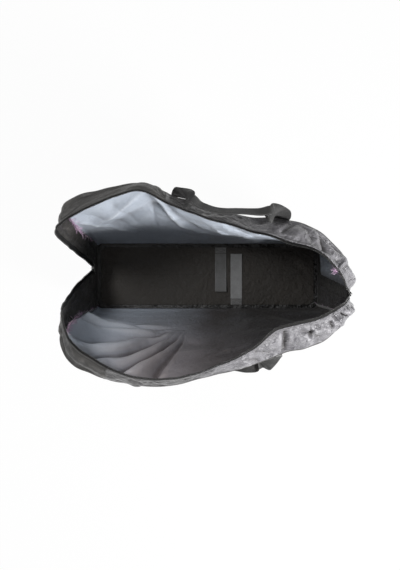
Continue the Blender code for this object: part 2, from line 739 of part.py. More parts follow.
def make_handle_anchor(half, root_side, label, root, axis, out, parts):
    """The sewn end of a handle's webbing: flat on the side panel, then lifting off to the hinge."""
    share = half.root_shares[root_side]
    across = WEBBING_WIDTH / half.panel_length()
    top = half.below_seam(share, half.root_drops[root_side])
    run = top - half.below_seam(share, half.root_drops[root_side] + ANCHOR_LENGTH)
    proud = CLOTH / 2 + ANCHOR_GAP + WEBBING_THICKNESS / 2
    edge = root - out * half.hinge_offset

    def surface(u, v):
        at_u = share + across * (u - 0.5)
        at_v = top - run * (1 - v)
        sewn = half.faceted_panel(at_u, at_v) + half.panel_normal(at_u, at_v) * proud
        lifted = max(0.0, 1 - (1 - v) / ANCHOR_LIFT_SHARE) ** 2
        return sewn + (edge + axis * WEBBING_WIDTH * (u - 0.5) - sewn) * lifted

    name = half.name + "_" + label + "_handle_anchor"
    sheet(name, surface, 4, 8, WEBBING_THICKNESS, "webbing", parts)


def slider_frame(end):
    """The rest frame of a slider: X up the chain, Y across it and Z out of the bag."""
    foot, head = chain_point(end, 0), chain_point(end, 1)
    up_chain = (head - foot).normalized()
    outwards = Vector((float(end), 0.0, 0.0))
    across = outwards.cross(up_chain).normalized()
    outwards = up_chain.cross(across).normalized()
    middle = head - up_chain * (SLIDER_LENGTH / 2 + SLIDER_CLEARANCE)
    frame = Matrix((up_chain, across, outwards)).transposed().to_4x4()
    frame.translation = middle
    return frame


def slider_plate(name, face, parts):
    """One of a slider's two plates with its side flanges, as a profile across the chain run along it."""
    half = CHAIN_HALF + COIL_RADIUS + SLIDER_CLEARANCE + SLIDER_FLANGE
    inner = half - SLIDER_FLANGE
    low = COIL_RADIUS + SLIDER_CLEARANCE
    profile = [
        (-half, SLIDER_SLOT / 2),
        (-inner, SLIDER_SLOT / 2),
        (-inner, low),
        (inner, low),
        (inner, SLIDER_SLOT / 2),
        (half, SLIDER_SLOT / 2),
        (half, low + SLIDER_PLATE * 0.6),
        (half - SLIDER_PLATE * 0.6, low + SLIDER_PLATE),
        (-half + SLIDER_PLATE * 0.6, low + SLIDER_PLATE),
        (-half, low + SLIDER_PLATE * 0.6),
    ]
    made = plate(name, [profile], SLIDER_LENGTH, "metal", parts)
    turn = Matrix(((0, 0, 1), (1, 0, 0), (0, 1, 0))).to_4x4()
    if face < 0:
        turn = Matrix.Rotation(math.pi, 4, "X") @ turn
    made.data.transform(turn)
    return made


def slider_fin(name, parts):
    """The post between a slider's plates and the crown that holds its pull, as one outline seen from the side."""
    low = COIL_RADIUS + SLIDER_CLEARANCE
    top = low + SLIDER_PLATE
    end = SLIDER_LENGTH / 2
    post = SLIDER_LENGTH * 0.2
    outline = [(end, -low - SLIDER_PLATE / 2), (end, low + SLIDER_PLATE / 2)]
    outline += [(end - post, low + SLIDER_PLATE / 2), (end - post, -low - SLIDER_PLATE / 2)]
    fin = plate(name + "_post", [outline], SLIDER_POST, "metal", parts)
    fin.data.transform(Matrix.Rotation(math.pi / 2, 4, "X"))
    arch = [(-CROWN_LENGTH / 2, top - SLIDER_PLATE / 2)]
    hole = []
    for step in range(CURVE_STEPS + 1):
        angle = math.pi * step / CURVE_STEPS
        flat = math.copysign(abs(math.cos(angle)) ** 0.5, math.cos(angle))
        rise = math.sin(angle) ** 0.5
        arch.append((-CROWN_LENGTH / 2 * flat, top + CROWN_HEIGHT * rise))
        inner_rise = (CROWN_HEIGHT - CROWN_BAR) * rise
        hole.append((-(CROWN_LENGTH / 2 - CROWN_BAR) * flat, top + inner_rise))
    arch.append((CROWN_LENGTH / 2, top - SLIDER_PLATE / 2))
    hole[0] = (hole[0][0], top + GAP)
    hole[-1] = (hole[-1][0], top + GAP)
    crown = plate(name + "_crown", [arch, hole], CROWN_WIDTH, "metal", parts)
    crown.data.transform(Matrix.Rotation(math.pi / 2, 4, "X"))
    return fin, crown


def pull_axis_height():
    """How far the pull's axis stands out from the chain's middle: halfway up the crown's window."""
    return COIL_RADIUS + SLIDER_CLEARANCE + SLIDER_PLATE + (CROWN_HEIGHT - CROWN_BAR) / 2


def make_slider(label, end, parts, cutters):
    """A zip slider on the closed chain, with its pull hanging from the crown."""
    name = label + "_zip_slider"
    frame = slider_frame(end)
    outer = slider_plate(name, 1, parts)
    inner = slider_plate(name + "_inner_plate", -1, parts)
    fin, crown = slider_fin(name, parts)
    join_to(outer, [inner, fin, crown], cutters)
    for piece in (outer, inner, fin, crown):
        piece.matrix_world = frame
    window = CROWN_LENGTH / 2 + PULL_CLEARANCE
    window_width = CROWN_WIDTH + 2 * PULL_CLEARANCE
    reach = PULL_BAR / 2
    body = rounded_rectangle(PULL_LENGTH, PULL_WIDTH, PULL_WIDTH * 0.4, (PULL_LENGTH / 2 - reach, 0.0))
    hole = rounded_rectangle(
        window - reach, window_width, window_width * 0.2, ((window + reach) / 2, 0.0)
    )
    grip_hole = rounded_rectangle(
        PULL_LENGTH * 0.3, PULL_WIDTH * 0.35, PULL_WIDTH * 0.17, (PULL_LENGTH * 0.72, 0.0)
    )
    pull = plate(label + "_zip_pull", [body, hole, grip_hole], PULL_THICKNESS, "metal", parts)
    hang = Matrix.Rotation(math.pi, 4, "Z")
    lift = Matrix.Translation((0.0, 0.0, pull_axis_height()))
    pull.matrix_world = frame @ lift @ hang
    tell_joint(name, frame.translation, frame.col[0].to_3d())
    tell_joint(pull.name, pull.matrix_world.translation, frame.col[1].to_3d())


def make_end_tab(label, end, parts):
    """The patch sewn over the foot of the zip, on the outside of the end's band."""
    foot = chain_point(end, 0)
    radius = END_TAB_HEIGHT * 0.25
    outline = rounded_rectangle(END_TAB_WIDTH, END_TAB_HEIGHT, radius)
    tab = plate(label + "_zip_end_tab", [outline], CLOTH, "black cloth", parts)
    tab.rotation_euler = (math.pi / 2, 0.0, math.pi / 2)
    over_band = HALF_LENGTH + CLOTH + 2 * GAP
    over_coil = abs(foot.x) + COIL_RADIUS + GAP + CLOTH / 2
    tab.location = (end * max(over_band, over_coil), foot.y, BAND_HEIGHT - END_TAB_HEIGHT / 2)


def make_strap(label, side, place, length, parts):
    """A hook and loop strap sewn to the board's edge and lying across the board."""
    root = side * (HALF_WIDTH - BOARD_MARGIN - STRAP_ANCHOR_LENGTH)
    height = BOARD_TOP + GAP + STRAP_THICKNESS / 2
    radius = STRAP_WIDTH * 0.12
    outline = rounded_rectangle(STRAP_WIDTH, length, radius, (0.0, -side * length / 2))
    strap = plate(label + "_strap", [outline], STRAP_THICKNESS, "webbing", parts)
    strap.location = (place, root, height)
    anchor_length = STRAP_ANCHOR_LENGTH - STRAP_HINGE_GAP
    outline = rounded_rectangle(STRAP_WIDTH, anchor_length, radius)
    anchor = plate(label + "_strap_anchor", [outline], STRAP_THICKNESS, "webbing", parts)
    anchor.location = (place, root + side * (STRAP_HINGE_GAP + anchor_length / 2), height)
    tell_joint(strap.name, strap.location, Vector((-side, 0.0, 0.0)))


def main():
    clear_scene()
    parts = new_collection("soft_bike_travel_bag")
    cutters = new_collection("cutters")
    cutters.hide_render = True
    roots = BACK_ROOT_SHARES, BACK_ROOT_DROPS, BACK_HINGE_OFFSET
    back = BagHalf("back", 1, BACK_ROW_SHARES, BACK_PARTING_SHARES, BACK_BLACK_ROW, *roots)
    roots = FRONT_ROOT_SHARES, FRONT_ROOT_DROPS, FRONT_HINGE_OFFSET
    front = BagHalf("front", -1, FRONT_ROW_SHARES, FRONT_PARTING_SHARES, FRONT_BLACK_ROW, *roots)
    make_base(parts)
    for half in (back, front):
        half.prepare()
        make_side_band(half, parts)
        make_side_panel(half, parts)
        make_gusset(half, "left_end", 0.0, half.black_row, "black cloth", parts)
        make_gusset(half, "top", half.black_row, RIGHT_CORNER_ROW, "grey cloth", parts)
        make_gusset(half, "right_end", RIGHT_CORNER_ROW, half.last_row, "grey cloth", parts)
        make_zip(half, parts)
        make_piping(half, parts)
        make_seam_allowance(half, "left", 1.0, half.black_row, parts)
        make_seam_allowance(half, "right", RIGHT_CORNER_ROW, half.last_row, parts)
    make_end_band("left_end_lower_band", -1, back, front, parts)
    make_end_band("right_end_lower_band", 1, back, front, parts)
    make_handle(back, BACK_LOOP_SHARES, parts)
    make_handle(front, FRONT_LOOP_SHARES, parts)
    for label, end in (("left", -1), ("right", 1)):
        make_slider(label, end, parts, cutters)
        make_end_tab(label, end, parts)
    place = HOOK_STRAP_PLACE_SHARE * HALF_LENGTH
    make_strap("hook", 1, place, HOOK_STRAP_LENGTH, parts)
    make_strap("loop", -1, place + STRAP_SPACING, LOOP_STRAP_LENGTH, parts)


main()
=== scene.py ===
"""The travel bag's cloth, zip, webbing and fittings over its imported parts, in a plain pale studio.

Metres, +Z up, in the parts' own frame: +X is the end where the zip still holds and +Y is the back.
Each half of the bag is one class with its own rows, and a row crosses the gusset from the side seam to
the zip's edge.
"""

import logging
import math
import random
from dataclasses import dataclass, field, replace
from enum import Enum
from typing import Callable, Iterable, Sequence

import bmesh
import bpy
import numpy as np
from mathutils import Matrix, Vector, noise
from mathutils.bvhtree import BVHTree
from mathutils.geometry import delaunay_2d_cdt


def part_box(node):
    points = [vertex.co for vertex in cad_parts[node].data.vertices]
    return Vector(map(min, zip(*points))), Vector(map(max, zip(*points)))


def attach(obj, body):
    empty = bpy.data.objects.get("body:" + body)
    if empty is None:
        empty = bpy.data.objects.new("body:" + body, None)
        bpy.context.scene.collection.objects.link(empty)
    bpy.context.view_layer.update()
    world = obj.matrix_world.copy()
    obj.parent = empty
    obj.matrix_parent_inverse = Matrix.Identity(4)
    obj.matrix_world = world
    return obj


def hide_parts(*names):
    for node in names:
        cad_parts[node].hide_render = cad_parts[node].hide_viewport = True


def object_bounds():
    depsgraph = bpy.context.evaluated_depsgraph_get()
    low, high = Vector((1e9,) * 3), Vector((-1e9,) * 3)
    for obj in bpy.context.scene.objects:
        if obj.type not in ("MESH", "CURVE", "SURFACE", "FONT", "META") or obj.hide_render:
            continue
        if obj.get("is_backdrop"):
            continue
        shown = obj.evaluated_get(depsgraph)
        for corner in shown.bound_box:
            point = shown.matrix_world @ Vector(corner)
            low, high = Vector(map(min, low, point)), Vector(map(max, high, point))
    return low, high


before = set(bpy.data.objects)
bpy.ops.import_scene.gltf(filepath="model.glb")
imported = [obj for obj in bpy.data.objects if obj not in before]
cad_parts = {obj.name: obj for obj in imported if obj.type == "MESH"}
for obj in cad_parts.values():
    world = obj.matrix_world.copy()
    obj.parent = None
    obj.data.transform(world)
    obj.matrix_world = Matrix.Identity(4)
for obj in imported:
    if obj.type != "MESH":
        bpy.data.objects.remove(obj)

LOG = logging.getLogger("travel_bag")
Surface = Callable[[float, float], Vector]
Height = Callable[[float, float], float]
Spot = tuple[float, float]
Line = list[tuple[Vector, Vector]]
Socket = bpy.types.NodeSocket
Row = tuple[tuple[float, float, float], tuple[float, float, float], float]
ROOT = "root"
FULL_TURN = 2 * math.pi
NOISE_SEED = 7
CREST_GAIN = 120.0
CREST_REACH = 5
THREAD_LIFT = 0.0001
LEVEL_RISE = 1e-4
SEAM_WANDER = 0.0030
YARN_POINTS = 6


class End(Enum):
    """The two ends of the bag, by the sign of X."""

    LEFT = -1
    RIGHT = 1


class Section(Enum):
    """The three lengths that each half of the gusset is cut in."""

    LEFT_END = "left_end"
    TOP = "top"
    RIGHT_END = "right_end"


@dataclass(frozen=True)
class BagSizes:
    """The bag's real sizes, in metres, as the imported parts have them."""

    base_length: float = 0.740
    base_width: float = 0.220
    base_corner: float = 0.025
    board_margin: float = 0.014
    board_top: float = 0.0058
    band_height: float = 0.060
    seam_height: float = 0.520
    rim_height: float = 0.575
    left_parting: float = 0.120
    right_parting: float = 0.420
    cloth: float = 0.0016
    gap: float = 0.0003
    piping_radius: float = 0.0018
    seam_inset: float = 0.0030
    panel_bulge: float = 0.012
    gusset_puff: float = 0.018
    allowance: float = 0.013
    station_step: float = 0.027
    coil_radius: float = 0.0018
    coil_gap: float = 0.0018
    tape_width: float = 0.012
    tape_thickness: float = 0.0010
    tab_width: float = 0.034
    tab_height: float = 0.022

    @property
    def half_length(self) -> float:
        """Half the base's length."""
        return self.base_length / 2

    @property
    def half_width(self) -> float:
        """Half the base's width."""
        return self.base_width / 2

    @property
    def chain_half(self) -> float:
        """How far each half's coil stands from the middle of the closed zip."""
        return self.coil_radius + self.coil_gap / 2

    @property
    def band_underside(self) -> float:
        """The height of the lower bands' lower edge, over the base's piping."""
        return 2 * (self.piping_radius + self.gap)


SIZES = BagSizes()
LEFT_CHAIN_SHARES = ((-1.000, 0.218), (-0.984, 0.218))
RIGHT_CHAIN_SHARES = ((1.003, -0.120), (1.035, -0.500))
PANEL_MIDDLE_SHARES = (0.7, 0.5)
FOOT_PUFF_SHARE = 0.12
LEFT_CORNER_ROW = 4.0
RIGHT_CORNER_ROW = 13.0
PANEL_ROWS = 13
CORNER_CROWDING = 1.4
ROW_STEP = 0.02
ROW_SLACK = 1e-6

BACK_ROW_SHARES: tuple[Row, ...] = (
    ((-1.005, 1.13, 0.42), (-1.049, 0.53, 0.385), 0.25),
    ((-1.024, 1.27, 0.69), (-1.076, 0.76, 0.660), 0.30),
    ((-1.027, 1.54, 0.96), (-1.073, 0.95, 0.922), 0.30),
    ((-0.932, 1.78, 0.99), (-0.989, 1.16, 0.974), 0.20),
    ((-0.730, 1.96, 1.00), (-0.768, 1.54, 0.991), 0.15),
    ((-0.473, 2.09, 1.00), (-0.486, 1.84, 1.000), 0.10),
    ((-0.257, 1.80, 0.99), (-0.262, 1.51, 1.000), 0.10),
    ((0.000, 1.47, 0.985), (-0.010, 1.21, 1.000), 0.15),
    ((0.270, 1.32, 0.98), (0.257, 0.95, 0.996), 0.20),
    ((0.541, 1.25, 0.97), (0.510, 0.70, 0.987), 0.30),
    ((0.776, 0.97, 0.95), (0.735, 0.45, 0.970), 0.50),
    ((0.946, 0.44, 0.915), (0.878, 0.07, 0.930), 0.80),
    ((1.016, 0.14, 0.83), (0.968, -0.33, 0.840), 1.00),
)
FRONT_ROW_SHARES: tuple[Row, ...] = (
    ((-1.011, -1.11, 0.46), (-1.054, -0.23, 0.417), 0.25),
    ((-1.038, -1.22, 0.73), (-1.068, -0.64, 0.678), 0.30),
    ((-1.054, -1.50, 0.93), (-1.030, -0.91, 0.896), 0.30),
    ((-0.989, -2.02, 0.98), (-0.932, -1.56, 0.974), 0.20),
    ((-0.811, -2.35, 0.996), (-0.757, -2.00, 0.991), 0.15),
    ((-0.541, -2.58, 1.00), (-0.527, -2.32, 1.000), 0.10),
    ((-0.270, -2.61, 1.00), (-0.257, -2.36, 1.000), 0.10),
    ((0.000, -2.40, 0.99), (0.013, -2.13, 1.000), 0.15),
    ((0.270, -2.18, 0.98), (0.257, -1.75, 0.991), 0.20),
    ((0.514, -1.87, 0.97), (0.460, -1.23, 0.983), 0.30),
    ((0.757, -1.67, 0.95), (0.676, -1.07, 0.965), 0.50),
    ((0.919, -1.31, 0.923), (0.838, -0.85, 0.930), 0.80),
    ((0.986, -1.06, 0.846), (0.957, -0.66, 0.843), 1.00),
)
BACK_PARTING_SHARES = ((-0.984, 1.02, 0.24), (1.027, 0.20, 0.71))
FRONT_PARTING_SHARES = ((-0.984, -1.02, 0.24), (1.022, -1.02, 0.73))


def smooth_step(value: float) -> float:
    """The smooth step from 0 to 1 of a value, held to that range."""
    value = min(max(value, 0.0), 1.0)
    return value * value * (3 - 2 * value)


def smooth_steps(values: np.ndarray) -> np.ndarray:
    """smooth_step of a whole array."""
    held = np.clip(values, 0.0, 1.0)
    return held * held * (3 - 2 * held)


def smooth_between(before: object, start: object, end: object, after: object, share: float) -> object:
    """The Catmull-Rom curve from start to end.

    Args:
        before: The value before start.
        start: Where the curve starts.
        end: Where it ends.
        after: The value after end.
        share: The share of the way.

    Returns:
        The value there, of the same kind.
    """
    square = share * share
    cube = square * share
    return (
        2 * start
        + (end - before) * share
        + (2 * before - 5 * start + 4 * end - after) * square
        + (3 * start - before - 3 * end + after) * cube
    ) / 2


def at_share(values: Sequence, share: float) -> object:
    """The value at a share of the way along a list, between its neighbours.

    Args:
        values: The list.
        share: The share of the way along.

    Returns:
        The value.
    """
    place = min(max(share, 0.0), 1.0) * (len(values) - 1)
    low = min(int(place), len(values) - 2)
    return values[low] + (values[low + 1] - values[low]) * (place - low)


def spaced_rows(
    curve: Callable[[float], Vector],
    start: float,
    end: float,
    step: float,
    trim_start: float = 0.0,
) -> list[float]:
    """Row positions from start to end, about a step apart on a curve.

    Args:
        curve: The point at a row position.
        start: The first position.
        end: The last one.
        step: The wanted length between two.
        trim_start: The length that the first is drawn in by.

    Returns:
        The positions, both ends among them.
    """
    fine = [start + (end - start) * i / 400 for i in range(401)]
    points = [curve(position) for position in fine]
    lengths = [0.0]
    for one, other in zip(points, points[1:]):
        lengths.append(lengths[-1] + (other - one).length)
    first, last = trim_start, lengths[-1]
    count = max(1, round((last - first) / step))
    found = []
    place = 0
    for i in range(count + 1):
        wanted = first + (last - first) * i / count
        while place < len(fine) - 2 and lengths[place + 1] < wanted:
            place += 1
        stretch = max(lengths[place + 1] - lengths[place], SIZES.gap / 1000)
        share = (wanted - lengths[place]) / stretch
        found.append(fine[place] + (fine[place + 1] - fine[place]) * share)
    return found


def base_corner_point(x_side: int, y_side: int, height: float) -> Vector:
    """The middle of a rounded corner of the base, where a side seam stands."""
    cut = SIZES.base_corner * (1 - math.cos(FULL_TURN / 8))
    return Vector((x_side * (SIZES.half_length - cut), y_side * (SIZES.half_width - cut), height))


def wall_ring(half_run: float, half_other: float, share: float) -> tuple[float, float]:
    """One wall of the base's outline from above, corner middle to corner middle.

    Args:
        half_run: Half the wall's length.
        half_other: How far the wall stands from the base's middle.
        share: The share of the way along it.

    Returns:
        The place along the wall and across it.
    """
    radius = SIZES.base_corner
    arc = radius * FULL_TURN / 8
    straight = 2 * (half_run - radius)
    distance = share * (straight + 2 * arc)
    if distance < arc:
        angle = FULL_TURN / 8 * (1 - distance / arc)
        return -half_run + radius - radius * math.sin(angle), half_other - radius + radius * math.cos(angle)
    if distance > straight + arc:
        angle = (distance - straight - arc) / radius
        return half_run - radius + radius * math.sin(angle), half_other - radius + radius * math.cos(angle)
    return -half_run + radius + distance - arc, half_other


def side_ring(side: int, share: float, height: float) -> Vector:
    """A point on the base's outline along a side wall."""
    x, y = wall_ring(SIZES.half_length, SIZES.half_width, share)
    return Vector((x, side * y, height))


def end_ring(end: End, share: float, height: float) -> Vector:
    """A point on the base's outline across an end, from the back corner to the front one."""
    y, x = wall_ring(SIZES.half_width, SIZES.half_length, share)
    return Vector((end.value * x, -y, height))


def chain_point(end: End, head: int) -> Vector:
    """The middle of the closed zip at its foot (head 0) or where its halves part (head 1).

    Args:
        end: The end of the bag.
        head: 0 or 1.

    Returns:
        The point.
    """
    shares = (LEFT_CHAIN_SHARES if end is End.LEFT else RIGHT_CHAIN_SHARES)[head]
    parting = SIZES.left_parting if end is End.LEFT else SIZES.right_parting
    height = parting if head else SIZES.band_height
    return Vector((shares[0] * SIZES.half_length, shares[1] * SIZES.half_width, height))


@dataclass
class BagHalf:
    """The lines and surfaces that one half's cloth lies on, from the base to the zip's edge."""

    name: str
    side: int
    row_shares: tuple[Row, ...]
    parting_shares: tuple[tuple[float, float, float], tuple[float, float, float]]
    black_row: float
    wander: float = 0.0
    wander_size: float = 0.045
    seams: list[Vector] = field(default_factory=list)
    rims: list[Vector] = field(default_factory=list)
    puffs: list[float] = field(default_factory=list)
    stations: list[float] = field(default_factory=list)

    def __post_init__(self) -> None:
        """Works out the rows and the row positions that the panel's edges follow."""
        self.seams, self.rims, self.puffs, self.stations = [], [], [], [0.0]
        left_foot, right_foot = (base_corner_point(end, self.side, SIZES.band_height) for end in (-1, 1))
        self._add_closed_row(End.LEFT, 0, left_foot, FOOT_PUFF_SHARE)
        self._add_closed_row(End.LEFT, 1, self._seam_place(self.parting_shares[0]), FOOT_PUFF_SHARE)
        for seam_shares, rim_shares, puff in self.row_shares:
            self.seams.append(self._seam_place(seam_shares))
            x, y, z = rim_shares
            self.rims.append(Vector((x * SIZES.half_length, y * SIZES.half_width, z * SIZES.rim_height)))
            self.puffs.append(puff)
        self._add_closed_row(End.RIGHT, 1, self._seam_place(self.parting_shares[1]), self.puffs[-1])
        self._add_closed_row(End.RIGHT, 0, right_foot, FOOT_PUFF_SHARE)
        self.last_row = float(len(self.seams) - 1)
        wander, self.wander = self.wander, 0.0
        step = SIZES.station_step
        stretches = (
            (1.0, step),
            (LEFT_CORNER_ROW, step),
            (self.black_row, step),
            (RIGHT_CORNER_ROW, step),
            (self.last_row - 1.0, step),
            (self.last_row, 2 * step),
        )
        for end, length in stretches:
            self.stations += spaced_rows(self.middle, self.stations[-1], end, length)[1:]
        first, last = LEFT_CORNER_ROW - ROW_SLACK, RIGHT_CORNER_ROW + ROW_SLACK
        self.top_rows = [row for row in self.stations if first < row < last]
        self.left_rows = self._panel_side_rows(0.0, LEFT_CORNER_ROW)
        self.right_rows = self._panel_side_rows(self.last_row, RIGHT_CORNER_ROW)
        self.wander = wander

    @staticmethod
    def _seam_place(shares: tuple[float, float, float]) -> Vector:
        """The side seam's point for a row's shares."""
        x, y, z = shares
        return Vector((x * SIZES.half_length, y * SIZES.half_width, z * SIZES.seam_height))

    def _add_closed_row(self, end: End, head: int, seam: Vector, puff: float) -> None:
        """Adds a row at an end of the zip's closed stretch.

        Args:
            end: The end of the bag.
            head: 0 for its foot and 1 for its head.
            seam: The side seam's point.
            puff: How far the gusset puffs out there, as a share.
        """
        self.seams.append(seam)
        self.rims.append(chain_point(end, head) + Vector((0.0, self.side * SIZES.chain_half, 0.0)))
        self.puffs.append(puff)

    def _panel_side_rows(self, foot: float, corner: float) -> list[float]:
        """Row positions up an upright edge of the panel, closer together near the rounded corner."""
        even = spaced_rows(self.seam, foot, corner, SIZES.station_step / 4, SIZES.gap)
        return [at_share(even, 1 - (1 - i / PANEL_ROWS) ** CORNER_CROWDING) for i in range(PANEL_ROWS + 1)]

    def between(self, values: Sequence, position: float) -> object:
        """The rows' values on a smooth curve, straight along the zip's two closed stretches.

        Args:
            values: A value for each row.
            position: The row position.

        Returns:
            The value there.
        """
        position = min(max(position, 0.0), self.last_row)
        low = min(int(position), int(self.last_row) - 1)
        share = position - low
        start, end = values[low], values[low + 1]
        if low in (0, int(self.last_row) - 1):
            return start + (end - start) * share
        before = values[low - 1] if low > 1 else start * 2 - end
        after = values[low + 2] if low + 2 < self.last_row else end * 2 - start
        return smooth_between(before, start, end, after, share)

    def _strayed(self, point: Vector, position: float, seed: float) -> Vector:
        """A seam's point with the small wander of sewn cloth, none along the zip's closed stretches.

        Args:
            point: The point.
            position: The row position.
            seed: The seed of its line's wander.

        Returns:
            The point, moved.
        """
        if not self.wander:
            return point
        calm = smooth_step(position - 1.0) * smooth_step(self.last_row - 1.0 - position)
        here = point / self.wander_size + Vector((seed, self.side * 7.0, 0.0))
        return point + Vector(noise.noise_vector(here)) * self.wander * calm

    def seam(self, position: float) -> Vector:
        """The side seam's point at a row position."""
        return self._strayed(self.between(self.seams, position), position, 11.0)

    def rim(self, position: float) -> Vector:
        """The zip edge's point at a row position."""
        return self._strayed(self.between(self.rims, position), position, 37.0)

    def middle(self, position: float) -> Vector:
        """Halfway between the side seam and the zip's edge."""
        return (self.seam(position) + self.rim(position)) / 2

    def tangent(self, curve: Callable[[float], Vector], position: float) -> Vector:
        """The direction of a curve at a row position.

        Args:
            curve: The curve.
            position: The row position.

        Returns:
            The unit direction.
        """
        before = curve(max(position - ROW_STEP, 0.0))
        after = curve(min(position + ROW_STEP, self.last_row))
        return (after - before).normalized()

    def gusset_width(self, position: float) -> float:
        """The gusset's width at a row position."""
        return (self.seam(position) - self.rim(position)).length

    def gusset_outwards(self, position: float) -> Vector:
        """The direction out of the bag at the gusset."""
        across = (self.seam(position) - self.rim(position)).normalized()
        return self.tangent(self.seam, position).cross(across).normalized() * self.side

    def gusset(self, position: float, distance: float) -> Vector:
        """The gusset's middle surface, at a distance from the zip's edge towards the side seam.

        Args:
            position: The row position.
            distance: The distance.

        Returns:
            The point.
        """
        rim, seam = self.rim(position), self.seam(position)
        width = (seam - rim).length
        share = distance / width
        flat = SIZES.tape_width / width
        puffed = max(0.0, (share - flat) / (1 - flat))
        puff = self.between(self.puffs, position) * SIZES.gusset_puff
        out = self.gusset_outwards(position)
        return rim + (seam - rim) * share + out * puff * math.sin(math.pi * puffed) ** 2

    def panel_direction(self, position: float) -> Vector:
        """The direction in which the side panel leaves its seam.

        Args:
            position: The row position.

        Returns:
            The unit direction.
        """
        seam = self.seam(position)
        below = Vector((seam.x * PANEL_MIDDLE_SHARES[0], seam.y, seam.z * PANEL_MIDDLE_SHARES[1]))
        inner = below - seam
        tangent = self.tangent(self.seam, position)
        return (inner - tangent * inner.dot(tangent)).normalized()

    def panel_edge(self, position: float) -> Vector:
        """The side panel's edge beside its seam."""
        return self.seam(position) + self.panel_direction(position) * SIZES.seam_inset

    def panel_foot(self, u: float) -> Vector:
        """The panel's lower edge, on the lower band's top.

        Args:
            u: The share along it.

        Returns:
            The point.
        """
        left = self.panel_edge(self.left_rows[0])
        right = self.panel_edge(self.right_rows[0])
        height = SIZES.band_height + SIZES.gap
        inset = SIZES.seam_inset / (SIZES.base_length + SIZES.base_width)
        ring = side_ring(self.side, inset + (1 - 2 * inset) * u, height)
        chord_start = side_ring(self.side, inset, height)
        chord_end = side_ring(self.side, 1 - inset, height)
        return left + (right - left) * u + ring - (chord_start + (chord_end - chord_start) * u)

    def panel(self, u: float, v: float) -> Vector:
        """The side panel's middle surface between its four edges, with a slight bulge.

        Args:
            u: The share along it.
            v: The share up it.

        Returns:
            The point.
        """
        left = self.panel_edge(at_share(self.left_rows, v))
        right = self.panel_edge(at_share(self.right_rows, v))
        top = self.panel_edge(at_share(self.top_rows, u))
        corners = (
            self.panel_foot(0.0) * (1 - u) * (1 - v)
            + self.panel_foot(1.0) * u * (1 - v)
            + self.panel_edge(self.left_rows[-1]) * (1 - u) * v
            + self.panel_edge(self.right_rows[-1]) * u * v
        )
        patch = self.panel_foot(u) * (1 - v) + top * v + left * (1 - u) + right * u - corners
        bulge = 16 * u * (1 - u) * v * (1 - v) * SIZES.panel_bulge
        return patch + Vector((0.0, self.side * bulge, 0.0))

    def panel_normal(self, u: float, v: float) -> Vector:
        """The direction out of the bag at the side panel.

        Args:
            u: The share along it.
            v: The share up it.

        Returns:
            The unit direction.
        """
        step = 0.01
        along_u = self.panel(min(u + step, 1.0), v) - self.panel(max(u - step, 0.0), v)
        along_v = self.panel(u, min(v + step, 1.0)) - self.panel(u, max(v - step, 0.0))
        return (along_u.cross(along_v) * -self.side).normalized()

    def below_seam(self, u: float, drop: float) -> float:
        """The v of the place on the panel that lies a length below its top edge.

        Args:
            u: The share along it.
            drop: The length.

        Returns:
            The share up the panel.
        """
        steps = 8 * PANEL_ROWS
        above = self.panel(u, 1.0)
        gone = 0.0
        for step in range(1, steps + 1):
            below = self.panel(u, 1 - step / steps)
            length = (below - above).length
            if gone + length >= drop:
                return 1 - (step - 1 + (drop - gone) / length) / steps
            gone += length
            above = below
        return 0.0

    def panel_length(self) -> float:
        """The length of the panel's top edge."""
        edge = [self.panel_edge(row) for row in self.top_rows]
        return sum((other - one).length for one, other in zip(edge, edge[1:]))


@dataclass(frozen=True)
class FoldLine:
    """A crease in a patch of cloth, from one place to another in shares along and across it."""

    start: tuple[float, float]
    end: tuple[float, float]
    depth: float
    width: float
    power: float = 1.5

    def heights(self, patch: "Patch") -> np.ndarray:
        """How far the crease moves each of the patch's points outwards.

        Args:
            patch: The cloth.

        Returns:
            A height for each point.
        """
        length, breadth = patch.size
        x, y = patch.u * length, patch.v * breadth
        start_x, start_y = self.start[0] * length, self.start[1] * breadth
        run_x, run_y = self.end[0] * length - start_x, self.end[1] * breadth - start_y
        along = ((x - start_x) * run_x + (y - start_y) * run_y) / (run_x**2 + run_y**2)
        held = np.clip(along, 0.0, 1.0)
        off = np.hypot(x - start_x - held * run_x, y - start_y - held * run_y)
        taper = np.clip(4 * held * (1 - held), 0.0, 1.0) ** 0.6
        return self.depth * taper * np.exp(-((off / self.width) ** self.power))


def point_heights(patch: "Patch", cell: Spot, height: Height) -> np.ndarray:
    """Heights over a patch of cloth, point by point.

    Args:
        patch: The cloth.
        cell: The lengths along and across that count as one.
        height: The height at a place, counted in those lengths.

    Returns:
        The height at each of the patch's points.
    """
    found = np.zeros(patch.u.shape)
    length, breadth = patch.size
    for index in np.ndindex(found.shape):
        found[index] = height(patch.u[index] * length / cell[0], patch.v[index] * breadth / cell[1])
    return found


@dataclass(frozen=True)
class Creases:
    """Straight sharp creases at random places, across the cloth or at a lean, with flats between them."""

    count: int
    depth: float
    width: float
    seed: int
    start: float
    spread: float
    length: Spot
    lean: float
    power: float = 1.05

    def heights(self, patch: "Patch") -> np.ndarray:
        """How far the creases move each of the patch's points outwards.

        Args:
            patch: The cloth.

        Returns:
            A height for each point.
        """
        rng = random.Random(self.seed)
        length, breadth = patch.size
        found = np.zeros(patch.u.shape)
        for _ in range(self.count):
            u, v = rng.uniform(self.start, 1.0), rng.uniform(0.1, 0.9)
            lean = rng.gauss(self.lean, self.spread)
            reach = rng.uniform(*self.length) / 2
            du, dv = math.sin(lean) * reach / length, math.cos(lean) * reach / breadth
            depth = self.depth * rng.uniform(0.4, 1.0) * rng.choice((0.4, -1.0, -1.0, -1.2))
            width = self.width * rng.uniform(0.6, 1.4)
            found += FoldLine((u - du, v - dv), (u + du, v + dv), depth, width, self.power).heights(patch)
        return found


